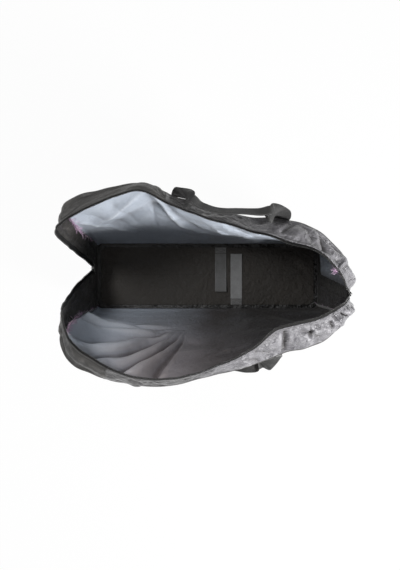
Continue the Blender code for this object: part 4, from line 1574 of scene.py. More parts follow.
class Wardrobe:
    """Every finish of the bag, built once."""

    def __init__(self) -> None:
        """Builds the effects and the materials."""
        effects = Effects()
        grey_cloth = ClothFinish(
            "grey_polyester",
            dark=(0.113, 0.110, 0.120, 1.0),
            light=(0.176, 0.171, 0.184, 1.0),
            wear_and_highlight=(0.42, 0.41, 0.43, 1.0),
            shade_colour=(0.040, 0.036, 0.036, 1.0),
            roughness=(0.34, 0.50),
            sheen=0.26,
            weave_depth=0.00022,
            crest_wear_and_highlight_share=0.46,
            valley_shade_share=0.90,
            speckle=0.12,
            wrinkle_depth=0.0012,
            crinkle_depth=0.0046,
        )
        self.grey = replace(grey_cloth, crinkle_depth=0.0030).build(effects)
        # The gusset's grey, with painted shade towards the zip's open end.
        gusset_cloth = replace(grey_cloth, name="grey_gusset_polyester", end_shade_share=0.80)
        self.gusset_grey = gusset_cloth.build(effects)
        black_cloth = ClothFinish(
            "black_polyester",
            dark=grey(0.021, 0.05),
            light=grey(0.068, 0.05),
            wear_and_highlight=grey(0.24, 0.05),
            shade_colour=grey(0.006, 0.04),
            roughness=(0.34, 0.48),
            sheen=0.05,
            weave_depth=0.00022,
            crest_wear_and_highlight_share=0.60,
            valley_shade_share=0.90,
            speckle=0.14,
            wrinkle_depth=0.0014,
            crinkle_depth=0.0044,
            blotches=2.0,
        )
        self.black = black_cloth.build(effects)
        lining = ClothFinish(
            "pale_coated_lining",
            dark=(0.41, 0.455, 0.525, 1.0),
            light=(0.58, 0.625, 0.69, 1.0),
            wear_and_highlight=(0.76, 0.79, 0.83, 1.0),
            # Its shade colour, dark brown, for the painted shade in the folds and inside the front half.
            shade_colour=(0.088, 0.074, 0.069, 1.0),
            roughness=(0.38, 0.50),
            sheen=0.05,
            weave_depth=0.00010,
            crest_wear_and_highlight_share=0.40,
            valley_shade_share=0.62,
            speckle=0.05,
            wrinkle_depth=0.0009,
            crinkle_depth=0.0018,
            front_shade_share=0.96,
            inside=True,
        )
        self.lining = lining.build(effects)
        raw_edge = ClothFinish(
            "raw_seam_edge",
            dark=grey(0.10, 0.02),
            light=grey(0.30, 0.03),
            wear_and_highlight=(0.70, 0.58, 0.62, 1.0),
            shade_colour=grey(0.06, 0.02),
            roughness=(0.7, 0.85),
            sheen=0.2,
            weave_depth=0.0003,
            crest_wear_and_highlight_share=0.6,
            valley_shade_share=0.3,
            speckle=0.6,
        )
        self.raw_edge = raw_edge.build(effects)
        board = ClothFinish(
            "board_cover",
            dark=grey(0.020, 0.22),
            light=grey(0.060, 0.18),
            wear_and_highlight=grey(0.13, 0.08),
            shade_colour=grey(0.012, 0.1),
            roughness=(0.5, 0.75),
            sheen=0.15,
            weave_depth=0.0003,
            crest_wear_and_highlight_share=0.4,
            valley_shade_share=0.3,
            speckle=0.5,
            pitch=0.0011,
            wrinkle_depth=0.0012,
        )
        self.board = board.build(effects)
        webbing = WebbingFinish(
            "black_webbing",
            dark=grey(0.010, 0.03),
            light=grey(0.024, 0.02),
            rib=0.0022,
            pick=0.0011,
            roughness=0.55,
            depth=0.00045,
        )
        self.webbing = webbing.build(effects)
        tape = WebbingFinish(
            "zip_tape",
            dark=grey(0.008, 0.02),
            light=grey(0.022, 0.02),
            rib=0.0007,
            pick=0.0008,
            roughness=0.8,
            depth=0.0002,
            speckle=0.05,
            sheen=0.02,
            gloss=0.2,
        )
        self.tape = tape.build(effects)
        strap_back = WebbingFinish(
            "strap_back",
            dark=grey(0.15, 0.01),
            light=grey(0.27, 0.01),
            rib=0.0012,
            pick=0.0010,
            roughness=0.7,
            depth=0.00025,
            speckle=0.2,
        )
        self.strap_back = strap_back.build(effects)
        self.pile = PileFinish("strap_pile", grey(0.28), grey(0.48, -0.01)).build(effects)
        self.dark_pile = PileFinish("dark_strap_pile", grey(0.15, 0.01), grey(0.26)).build(effects)
        self.pale_thread = NylonFinish("pale_thread", grey(0.34), grey(0.62), 0.6).build(effects)
        self.coil = NylonFinish("zip_coil", grey(0.030, 0.02), grey(0.070, 0.02), 0.38).build(effects)
        self.thread = NylonFinish("black_thread", grey(0.05), grey(0.12), 0.55).build(effects)
        piping = NylonFinish(
            "piping_cloth", grey(0.040, 0.03), grey(0.085, 0.02), roughness=0.6, grain=700.0, depth=0.0002
        )
        self.piping = piping.build(effects)
        fray = NylonFinish(
            "frayed_yarn", dark=(0.34, 0.13, 0.31, 1.0), light=(0.90, 0.76, 0.88, 1.0), roughness=0.8
        )
        self.fray = fray.build(effects)
        self.metal = MetalFinish("gunmetal", grey(0.085, 0.02), grey(0.52), 0.36).build(effects)


class Slot(Enum):
    """The material slots."""

    GREY = "grey_cloth"
    BLACK = "black_cloth"
    WEBBING = "webbing"
    STRAP = "hook_and_loop"
    ZIP = "zip"
    METAL = "metal"
    BOARD = "board"
    PIPING = "piping"


def place_piece(
    made: bpy.types.Object,
    slot: Slot,
    materials: Sequence[bpy.types.Material],
    body: str = ROOT,
    stands_for: Sequence[str] = (),
) -> bpy.types.Object:
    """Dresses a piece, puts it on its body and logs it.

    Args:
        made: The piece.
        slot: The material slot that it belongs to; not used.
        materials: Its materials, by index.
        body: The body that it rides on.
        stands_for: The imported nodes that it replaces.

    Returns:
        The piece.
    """
    made.data.materials.clear()
    for material in materials:
        made.data.materials.append(material)
    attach(made, body)
    if stands_for:
        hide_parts(*stands_for)
    LOG.info("%s on %s for %s", made.name, body, ", ".join(stands_for) or "nothing")
    return made


def new_curve(name: str, radius: float, sides: int, capped: bool) -> bpy.types.Curve:
    """An empty curve with a round section.

    Args:
        name: Its name.
        radius: The section's radius.
        sides: How many sides the section has: 4, 8, 12 or 16.
        capped: Whether its ends are closed.

    Returns:
        The curve.
    """
    curve = bpy.data.curves.new(name, "CURVE")
    curve.dimensions = "3D"
    curve.bevel_depth = radius
    curve.bevel_resolution = sides // 4 - 1
    curve.use_fill_caps = capped
    return curve


def add_run(curve: bpy.types.Curve, points: Sequence[Vector]) -> bpy.types.Spline:
    """Adds a run of straight lengths through points to a curve.

    Args:
        curve: The curve.
        points: The points.

    Returns:
        The run.
    """
    spline = curve.splines.new("POLY")
    spline.points.add(len(points) - 1)
    for place, point in zip(spline.points, points):
        place.co = (*point, 1.0)
    return spline


def tube(
    name: str, points: Sequence[Vector], radius: float, sides: int, closed: bool = False
) -> bpy.types.Object:
    """A round tube along points.

    Args:
        name: The piece's name.
        points: The points of its middle line.
        radius: Its radius.
        sides: How many sides it has round.
        closed: Whether its ends meet.

    Returns:
        The curve object.
    """
    curve = new_curve(name, radius, sides, not closed)
    spline = add_run(curve, points)
    spline.use_cyclic_u = closed
    spline.use_smooth = True
    return link_object(name, curve)


class Stitcher:
    """Sews rows of thread stitches, each a small rounded body half sunk in the cloth."""

    def __init__(self, length: float = 0.0030, pitch: float = 0.0042, radius: float = 0.00042) -> None:
        """Makes one stitch to copy.

        Args:
            length: A stitch's length.
            pitch: The length from one stitch to the next.
            radius: Its thread's radius.
        """
        self.pitch = pitch
        self.pattern = bpy.data.meshes.new("stitch")
        one = bmesh.new()
        bmesh.ops.create_icosphere(one, subdivisions=1, radius=1.0)
        bmesh.ops.scale(one, vec=(length / 2, radius, radius), verts=one.verts)
        for face in one.faces:
            face.smooth = True
        one.to_mesh(self.pattern)
        one.free()

    def sew(self, name: str, lines: Sequence[Line]) -> bpy.types.Object:
        """Sews along lines.

        Args:
            name: The piece's name.
            lines: For each line, its points, each with the direction out of the cloth.

        Returns:
            One object that holds every stitch.
        """
        sewn = bmesh.new()
        for line in lines:
            carried = 0.0
            for (here, out), (ahead, _) in zip(line, line[1:]):
                run = ahead - here
                length = run.length
                if length <= 0:
                    continue
                direction = run / length
                side = out.cross(direction).normalized()
                turn = Matrix((direction, side, direction.cross(side))).transposed().to_4x4()
                while carried < length:
                    turn.translation = here + direction * carried
                    copy = self.pattern.copy()
                    copy.transform(turn)
                    sewn.from_mesh(copy)
                    bpy.data.meshes.remove(copy)
                    carried += self.pitch
                carried -= length
        return mesh_object(name, sewn)


def patch_line(patch: Patch, start: Spot, end: Spot, proud: float, steps: int) -> Line:
    """A line on a patch of cloth, in shares, raised out of it.

    Args:
        patch: The cloth.
        start: Where the line starts, in shares along and across.
        end: Where it ends.
        proud: How far it stands out of the cloth's middle.
        steps: How many steps it takes.

    Returns:
        Points, each with the direction out of the cloth.
    """
    found = []
    for i in range(steps + 1):
        share = i / steps
        u = start[0] + (end[0] - start[0]) * share
        v = start[1] + (end[1] - start[1]) * share
        out = patch.outwards(min(max(u, 0.005), 0.995), min(max(v, 0.02), 0.98))
        found.append((patch.at(u, v) + out * proud, out))
    return found


def box_and_cross(patch: Patch, low: Spot, high: Spot, proud: float, steps: int) -> list[Line]:
    """The lines of a sewn box with a cross in it.

    Args:
        patch: The cloth.
        low: The box's first corner, in shares along and across.
        high: Its far corner.
        proud: How far the lines stand out of the cloth's middle.
        steps: How many steps a line takes.

    Returns:
        Its four sides and both diagonals.
    """
    beside, above = (high[0], low[1]), (low[0], high[1])
    corners = (low, beside, high, above, low, high)
    lines = [patch_line(patch, start, end, proud, steps) for start, end in zip(corners, corners[1:])]
    return lines + [patch_line(patch, above, beside, proud, steps)]


@dataclass
class HalfCloth:
    """The side panel and the three lengths of gusset of one half of the bag."""

    half: BagHalf
    wardrobe: Wardrobe
    stitcher: Stitcher
    panel_folds: tuple[Feature, ...]
    panel_still: tuple[StillSpot, ...]
    gusset_folds: Folds
    grid_step: float = 0.0036
    gusset_step: float = 0.0029
    gusset_rows: int = 34
    zip_inset: float = 0.0090
    lap_lift: float = 0.0015
    lap_reach: float = 0.018
    joint_lap: float = 0.010
    lap_height: float = SIZES.cloth * 1.1
    hem_drop: float = SIZES.cloth * 0.6
    tuck: float = 0.008
    panel_share: float = 0.95
    foot_inset: float = 0.0022
    second_inset: float = 0.0014
    panel_reaches: Spot = (0.05, 0.025)
    gusset_reaches: Spot = (0.016, 0.008)
    topstitch_inset: float = 0.0028
    panel_cut: Spot = (0.86, 0.56)

    def panel_patch(self) -> Patch:
        """The side panel's cloth, from the piping down to behind the lower band.

        Returns:
            The cloth before its folds.
        """
        half = self.half
        columns = round(half.panel_length() / self.grid_step)
        rows = round(SIZES.seam_height * self.panel_share / self.grid_step)
        shares = np.linspace(0.0, 1.0, columns + 1)
        ups = np.linspace(0.0, 1.0, rows + 1)
        top = np.array([half.panel_edge(at_share(half.top_rows, u)) for u in shares])
        foot = np.array([half.panel_foot(u) for u in shares])
        left = np.array([half.panel_edge(at_share(half.left_rows, v)) for v in ups])
        right = np.array([half.panel_edge(at_share(half.right_rows, v)) for v in ups])
        u, v = shares[None, :, None], ups[:, None, None]
        corners = foot[0] * (1 - u) * (1 - v) + foot[-1] * u * (1 - v)
        corners = corners + left[-1] * (1 - u) * v + right[-1] * u * v
        points = foot[None] * (1 - v) + top[None] * v + left[:, None] * (1 - u) + right[:, None] * u - corners
        bulge = 16 * u * (1 - u) * v * (1 - v) * SIZES.panel_bulge
        points = points + bulge * np.array([0.0, half.side, 0.0])
        points[-1] = [half.seam(at_share(half.top_rows, share)) for share in shares]
        points[1:, 0] = [half.seam(at_share(half.left_rows, up)) for up in ups[1:]]
        points[1:, -1] = [half.seam(at_share(half.right_rows, up)) for up in ups[1:]]
        points[0, :, 1] -= half.side * self.foot_inset
        points[0, :, 2] = SIZES.band_height - self.tuck
        points[1, :, 1] -= half.side * self.second_inset
        return Patch(points, -half.side)

    def make_panel(self) -> None:
        """Makes the side panel."""
        patch = self.panel_patch()
        patch.fold(self.panel_folds, self.panel_reaches, self.panel_still)
        made = patch.build(self.half.name + "_side_panel_cloth", SIZES.cloth)
        materials = [self.wardrobe.grey, self.wardrobe.lining]
        place_piece(made, Slot.GREY, materials, stands_for=[self.half.name + "_side_panel"])

    def gusset_patch(self, section: Section) -> Patch:
        """One length of the gusset's cloth, from over the zip's tape to the piping.

        Args:
            section: Which length.

        Returns:
            The cloth before its folds.
        """
        half = self.half
        start, end = {
            Section.LEFT_END: (0.0, half.black_row),
            Section.TOP: (half.black_row, RIGHT_CORNER_ROW),
            Section.RIGHT_END: (RIGHT_CORNER_ROW, half.last_row),
        }[section]
        positions = spaced_rows(half.middle, start, end, self.gusset_step)
        if section is not Section.RIGHT_END:
            positions.append(end + (positions[-1] - positions[-2]) * self.joint_lap / self.gusset_step)
        rows = self.gusset_rows
        points = np.zeros((rows + 1, len(positions), 3))
        for column, position in enumerate(positions):
            width = half.gusset_width(position)
            out = half.gusset_outwards(position)
            from_start = (half.middle(position) - half.middle(start)).length
            lapped = smooth_step(1 - from_start / (2 * self.joint_lap))
            if section is Section.LEFT_END:
                lapped = 0.0
            for row in range(rows + 1):
                distance = self.zip_inset + (width - self.zip_inset) * row / rows
                lift = self.lap_lift * smooth_step(1 - (distance - SIZES.tape_width) / self.lap_reach)
                lift += self.lap_height * lapped
                if row == 0:
                    lift -= self.hem_drop
                points[row, column] = half.gusset(position, distance) + out * lift
        return Patch(points, half.side)

    def make_gusset(self, section: Section) -> None:
        """Makes one length of the gusset with its row of stitches along the zip.

        Args:
            section: Which length.
        """
        patch = self.gusset_patch(section)
        patch.fold(self.gusset_folds[section], self.gusset_reaches)
        name = f"{self.half.name}_{section.value}_gusset"
        made = patch.build(name + "_cloth", SIZES.cloth)
        black = section is Section.LEFT_END
        outer = self.wardrobe.black if black else self.wardrobe.gusset_grey
        inner = self.wardrobe.black if black else self.wardrobe.lining
        place_piece(made, Slot.BLACK if black else Slot.GREY, [outer, inner], stands_for=[name])
        length, width = patch.size
        area = self.cloth_area(patch)
        share = self.topstitch_inset / width
        lines = [patch_line(patch, (0.0, share), (1.0, share), SIZES.cloth / 2 + THREAD_LIFT, 400)]
        sewn = self.stitcher.sew(name + "_topstitch", lines)
        place_piece(sewn, Slot.ZIP, [self.wardrobe.thread])

    @staticmethod
    def cloth_area(patch: Patch) -> float:
        """The area of a patch of cloth before it was folded.

        Args:
            patch: The cloth.

        Returns:
            The area.
        """
        steps = np.diff(patch.along)
        widths = (patch.across[-1][1:] + patch.across[-1][:-1]) / 2
        return float((steps * widths).sum())

    def make(self) -> None:
        """Makes the panel and the gusset's three lengths."""
        self.make_panel()
        for section in Section:
            self.make_gusset(section)


@dataclass
class ZipHalf:
    """One side of the zip: its woven tape and its nylon coil."""

    half: BagHalf
    wardrobe: Wardrobe
    tape_start: float = 0.0009
    grid_step: float = 0.006
    coil_step: float = 0.008
    turn_pitch: float = 0.00165
    turn_points: int = 8
    coil_across: float = 0.00150
    coil_through: float = 0.00115
    wire: float = 0.00032
    meshing: float = 0.0004
    # The black strips of painted shade behind the closed zip:
    strip_reach: float = 0.0150
    strip_depth: float = 0.0062
    strip_level: float = 0.55

    def make_tape(self) -> None:
        """Makes the tape."""
        half = self.half
        positions = spaced_rows(half.middle, 0.0, half.last_row, self.grid_step)
        rows = 4
        points = np.zeros((rows + 1, len(positions), 3))
        for column, position in enumerate(positions):
            for row in range(rows + 1):
                distance = self.tape_start + (SIZES.tape_width - self.tape_start) * row / rows
                points[row, column] = half.gusset(position, distance)
        made = Patch(points, half.side).build(half.name + "_zip_tape_weave", SIZES.tape_thickness)
        place_piece(made, Slot.ZIP, [self.wardrobe.tape] * 2, stands_for=[half.name + "_zip_tape"])

    def make_coil(self) -> None:
        """Makes the coil as one long flattened helix, its turns meshing where the zip is closed."""
        half = self.half
        positions = spaced_rows(half.rim, 0.0, half.last_row, self.coil_step)
        centres = [half.rim(position) for position in positions]
        sideways = [(half.seam(p) - half.rim(p)).normalized() for p in positions]
        closed = [1 - smooth_step(p - 1.0) * smooth_step(half.last_row - 1.0 - p) for p in positions]
        lengths = [0.0]
        for one, other in zip(centres, centres[1:]):
            lengths.append(lengths[-1] + (other - one).length)
        turns = int(lengths[-1] / self.turn_pitch)
        phase = 0.0 if half.side > 0 else math.pi
        points = []
        place = 0
        for i in range(turns * self.turn_points):
            run = lengths[-1] * i / (turns * self.turn_points)
            while place < len(lengths) - 2 and lengths[place + 1] < run:
                place += 1
            share = (run - lengths[place]) / (lengths[place + 1] - lengths[place])
            centre = centres[place].lerp(centres[place + 1], share)
            along = (centres[place + 1] - centres[place]).normalized()
            side = sideways[place].lerp(sideways[place + 1], share)
            side = (side - along * side.dot(along)).normalized()
            out = along.cross(side).normalized()
            angle = FULL_TURN * i / self.turn_points + phase
            reach = self.coil_across
            if math.cos(angle) < 0:
                reach += self.meshing * (closed[place] + (closed[place + 1] - closed[place]) * share)
            points.append(centre + side * math.cos(angle) * reach + out * math.sin(angle) * self.coil_through)
        made = tube(half.name + "_zip_coil_turns", points, self.wire, 4)
        place_piece(made, Slot.ZIP, [self.wardrobe.coil], stands_for=[half.name + "_zip_coil"])

    def make_shade_strip(self, label: str, start: float, end: float) -> None:
        """Makes a black strip behind the closed zip, clear of the slider's inner plate: painted shade that
        keeps the gaps in the coil dark.

        Args:
            label: Which end it is for.
            start: The row position that it starts at.
            end: The row position that it ends at.
        """
        positions = spaced_rows(self.half.middle, start, end, self.grid_step)
        rows = 10
        points = np.zeros((rows + 1, len(positions), 3))
        for column, position in enumerate(positions):
            out = self.half.gusset_outwards(position)
            for row in range(rows + 1):
                share = row / rows
                distance = self.strip_reach - (self.strip_reach * 2 + 2 * SIZES.chain_half) * (1 - share)
                risen = smooth_step((share - self.strip_level) / (1 - self.strip_level))
                depth = self.strip_depth * (1 - risen) + SIZES.cloth
                points[row, column] = self.half.gusset(position, distance) - out * depth
        made = Patch(points, self.half.side).build(f"{label}_zip_shade_strip_cloth", SIZES.cloth * 0.6)
        place_piece(made, Slot.BLACK, [self.wardrobe.black] * 2)

    def make(self) -> None:
        """Makes the tape, the coil and, on the back half, the black strips of painted shade behind the closed
        stretches.
        """
        self.make_tape()
        self.make_coil()
        if self.half.side > 0:
            self.make_shade_strip("left", 0.04, 1.12)
            self.make_shade_strip("right", self.half.last_row - 1.06, self.half.last_row - 0.02)


@dataclass(frozen=True)
class FrayedStretch:
    """A stretch of raw seam edge, between two row positions, and how many loose yarns it has."""

    part: str
    start: float
    end: float
    yarns: int
    thick_from: float
    thick_to: float


@dataclass
class SideSeam:
    """The piping in a side seam and the raw, fraying edges that stand into the bag behind it."""

    half: BagHalf
    wardrobe: Wardrobe
    stretches: tuple[FrayedStretch, ...]
    tuft: FrayedStretch | None
    seed: int
    yarn_radius: float = 0.00042
    edge_step: float = 0.003
    fine_rag: Spot = (0.006, 0.0014)
    coarse_rag: Spot = (0.03, 0.0016)
    wave: Spot = (0.022, 0.0035)

    def make_piping(self) -> None:
        """Makes the cloth-covered cord of the seam."""
        half = self.half
        points = [base_corner_point(-1, half.side, SIZES.band_underside)]
        points += [half.seam(row) for row in spaced_rows(half.seam, 0.0, half.last_row, 0.006)]
        points.append(base_corner_point(1, half.side, SIZES.band_underside))
        made = tube(half.name + "_piping_cord", points, SIZES.piping_radius, 12)
        place_piece(made, Slot.PIPING, [self.wardrobe.piping], stands_for=[half.name + "_piping"])

    def inwards(self, position: float) -> Vector:
        """The direction into the bag between the panel and the gusset.

        Args:
            position: The row position.

        Returns:
            The unit direction.
        """
        half = self.half
        seam = half.seam(position)
        tangent = half.tangent(half.seam, position)
        towards_rim = half.rim(position) - seam
        towards_rim = (towards_rim - tangent * towards_rim.dot(tangent)).normalized()
        return (towards_rim + half.panel_direction(position)).normalized()

    def make_allowance(self, stretch: FrayedStretch) -> None:
        """Makes a stretch of the raw edge, two plies of uneven depth, and its loose yarns.

        Args:
            stretch: The stretch.
        """
        half = self.half
        rng = random.Random(self.seed + len(stretch.part))
        positions = spaced_rows(half.middle, stretch.start, stretch.end, self.edge_step)
        rows = 5
        points = np.zeros((rows + 1, len(positions), 3))
        edges = []
        for column, position in enumerate(positions):
            seam = half.seam(position)
            inwards = self.inwards(position)
            sideways = inwards.cross(half.tangent(half.seam, position)).normalized()
            ragged = sum(noise.noise(seam / size) * depth for size, depth in (self.fine_rag, self.coarse_rag))
            wave = noise.noise(seam / self.wave[0] + Vector((3.0, 0.0, 0.0))) * self.wave[1]
            depth = SIZES.allowance + ragged
            for row in range(rows + 1):
                share = row / rows
                point = seam + inwards * (SIZES.piping_radius + SIZES.gap + depth * share)
                points[row, column] = point + sideways * wave * share * share
            edges.append((Vector(points[rows, column]), inwards, sideways))
        name = f"{half.name}_{stretch.part}_seam_allowance"
        made = Patch(points, 1).build(name + "_cloth", SIZES.cloth / 2)
        place_piece(made, Slot.BLACK, [self.wardrobe.raw_edge] * 2, stands_for=[name])
        self.make_yarns(name + "_yarns", stretch, positions, edges, rng)

    def make_yarns(
        self,
        name: str,
        stretch: FrayedStretch,
        positions: Sequence[float],
        edges: Sequence[tuple[Vector, Vector, Vector]],
        rng: random.Random,
    ) -> None:
        """Makes the loose yarns as one curve of short wandering strands.

        Args:
            name: The piece's name.
            stretch: The stretch that frays.
            positions: The row positions of its edge points.
            edges: Each edge point, with the directions into the bag and across the edge.
            rng: The seeded source of their places.
        """
        curve = new_curve(name, self.yarn_radius, 4, True)
        for i in range(stretch.yarns):
            wanted = rng.uniform(stretch.start, stretch.end)
            if i % 3:
                wanted = rng.triangular(stretch.thick_from, stretch.thick_to)
            place = min(range(len(positions)), key=lambda k: abs(positions[k] - wanted))
            point, inwards, sideways = edges[place]
            along = inwards.cross(sideways).normalized()
            heading = inwards + sideways * rng.uniform(-0.9, 0.9) + along * rng.uniform(-1.1, 1.1)
            heading.normalize()
            length = rng.uniform(0.004, 0.013) if i % 4 else rng.uniform(0.012, 0.026)
            here = point - inwards * 0.002
            strand = []
            for _ in range(YARN_POINTS):
                strand.append(here)
                heading += Vector([rng.uniform(-0.45, 0.45) for _ in range(3)])
                heading.normalize()
                here = here + heading * length / YARN_POINTS
            add_run(curve, strand)
        place_piece(link_object(name, curve), Slot.BLACK, [self.wardrobe.fray])

    def make_join(self, tuft: FrayedStretch) -> None:
        """Makes the loose yarns of the gusset's right-hand join, placed in metres from the zip's edge.

        Args:
            tuft: Where they are and how many.
        """
        half = self.half
        distances = [tuft.start + (tuft.end - tuft.start) * i / 30 for i in range(31)]
        out = half.gusset_outwards(RIGHT_CORNER_ROW)
        away = (half.rim(RIGHT_CORNER_ROW) - half.seam(RIGHT_CORNER_ROW)).normalized()
        along = half.tangent(half.rim, RIGHT_CORNER_ROW)
        heading = (away * 0.9 - out).normalized()
        places = [half.gusset(RIGHT_CORNER_ROW, distance) - out * SIZES.cloth * 1.5 for distance in distances]
        edges = [(place, heading, along) for place in places]
        name = f"{half.name}_{tuft.part}_yarns"
        self.make_yarns(name, tuft, distances, edges, random.Random(self.seed + 7))

    def make(self) -> None:
        """Makes the piping and every stretch of raw edge."""
        self.make_piping()
        for stretch in self.stretches:
            self.make_allowance(stretch)
        if self.tuft:
            self.make_join(self.tuft)


@dataclass
class LowerBands:
    """The four reinforced bands round the bag's foot, with their stitching and the zip's end patches."""

    back: BagHalf
    front: BagHalf
    wardrobe: Wardrobe
    stitcher: Stitcher
    columns: int = 190
    rows: int = 14
    flare: float = 0.0011
    lap: float = 0.0015
    inset_share: float = 0.4
    seam_shares: tuple[float, ...] = (0.90, 0.955, 0.05)
    patch_corner: float = 0.0045
    patch_crown: float = 0.0001

    def finish_band(self, name: str, points: np.ndarray, outside: int, seed: float) -> None:
        """Folds, builds and stitches one band.

        Args:
            name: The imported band's name.
            points: Its points.
            outside: The sign for its patch's outer side.
            seed: The seed of its waves.
        """
        patch = Patch(points, outside)
        patch.fold((Slack(0.09, 0.0010, seed, (1.0, 0.7)), Crumple(0.05, 0.0009, seed)), (0.012, 0.012))
        made = patch.build(name + "_cloth", SIZES.cloth)
        place_piece(made, Slot.BLACK, [self.wardrobe.black] * 2, stands_for=[name])
        proud = SIZES.cloth / 2 + THREAD_LIFT
        lines = [patch_line(patch, (0.0, share), (1.0, share), proud, 160) for share in self.seam_shares]
        sewn = self.stitcher.sew(name + "_stitches", lines)
        place_piece(sewn, Slot.BLACK, [self.wardrobe.thread])

    def make_side(self, half: BagHalf) -> None:
        """Makes the band along one side.

        Args:
            half: The half of the bag.
        """
        inset = SIZES.seam_inset * self.inset_share / (SIZES.base_length - 2 * SIZES.base_corner)

        def surface(u: float, v: float) -> Vector:
            """The band's middle, flared out a little at its top.

            Args:
                u: The share along it.
                v: The share up it.

            Returns:
                The point.
            """
            height = SIZES.band_underside + (SIZES.band_height + self.lap - SIZES.band_underside) * v
            point = side_ring(half.side, inset + (1 - 2 * inset) * u, height)
            return point + Vector((0.0, half.side * self.flare * v**3, 0.0))

        points = grid_points(surface, self.columns, self.rows)
        self.finish_band(half.name + "_lower_band", points, -half.side, half.side * 3.0)

    def make_end(self, end: End) -> None:
        """Makes the band across one end, whose top follows the foot of both halves of the gusset.

        Args:
            end: The end of the bag.
        """
        row = 0.0 if end is End.LEFT else self.back.last_row
        inset = SIZES.seam_inset * self.inset_share / (SIZES.base_width - 2 * SIZES.base_corner)

        def surface(u: float, v: float) -> Vector:
            """The band's middle, from the base's outline up to the gusset.

            Args:
                u: The share along it.
                v: The share up it.

            Returns:
                The point.
            """
            half = self.back if u <= 0.5 else self.front
            share = abs(1 - 2 * u)
            head = half.gusset(row, share * (half.gusset_width(row) - SIZES.seam_inset * self.inset_share))
            head.z = SIZES.band_height + self.lap
            head.x += end.value * self.flare
            foot = end_ring(end, inset + (1 - 2 * inset) * u, SIZES.band_underside)
            return foot + (head - foot) * v

        points = grid_points(surface, self.columns // 2, self.rows)
        name = ("left" if end is End.LEFT else "right") + "_end_lower_band"
        self.finish_band(name, points, -end.value, end.value * 5.0)

    def make_end_patch(self, end: End) -> None:
        """Makes the patch sewn over the zip's foot.

        Args:
            end: The end of the bag.
        """
        label = "left" if end is End.LEFT else "right"
        low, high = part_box(label + "_zip_end_tab")
        middle = (low + high) / 2
        corner = self.patch_corner

        def surface(u: float, v: float) -> Vector:
            """The patch's middle, with rounded corners and a slight dome.

            Args:
                u: The share along it.
                v: The share up it.

            Returns:
                The point.
            """
            y = (u - 0.5) * SIZES.tab_width
            z = (v - 0.5) * SIZES.tab_height
            over_y = max(0.0, abs(y) - SIZES.tab_width / 2 + corner) / corner
            over_z = max(0.0, abs(z) - SIZES.tab_height / 2 + corner) / corner
            if over_y > 0 and over_z > 0:
                reach = max(over_y, over_z) / math.hypot(over_y, over_z)
                y = math.copysign(SIZES.tab_width / 2 - corner + corner * over_y * reach, y)
                z = math.copysign(SIZES.tab_height / 2 - corner + corner * over_z * reach, z)
            dome = self.patch_crown * (1 - (2 * u - 1) ** 4) * (1 - (2 * v - 1) ** 4)
            return Vector((middle.x + end.value * dome, middle.y + y, middle.z + z))

        patch = Patch(grid_points(surface, 34, 22), end.value)
        patch.fold((Crumple(0.012, 0.00008, end.value * 2.0),), (0.003, 0.003))
        made = patch.build(label + "_zip_end_patch", SIZES.cloth * 0.8)
        place_piece(made, Slot.BLACK, [self.wardrobe.black] * 2, stands_for=[label + "_zip_end_tab"])
        lines = box_and_cross(patch, (0.10, 0.10), (0.90, 0.90), SIZES.cloth * 0.18, 20)
        sewn = self.stitcher.sew(label + "_zip_end_patch_stitches", lines)
        place_piece(sewn, Slot.BLACK, [self.wardrobe.thread])

    def make(self) -> None:
        """Makes the bands and the patches."""
        for half in (self.back, self.front):
            self.make_side(half)
        for end in End:
            self.make_end(end)
            self.make_end_patch(end)


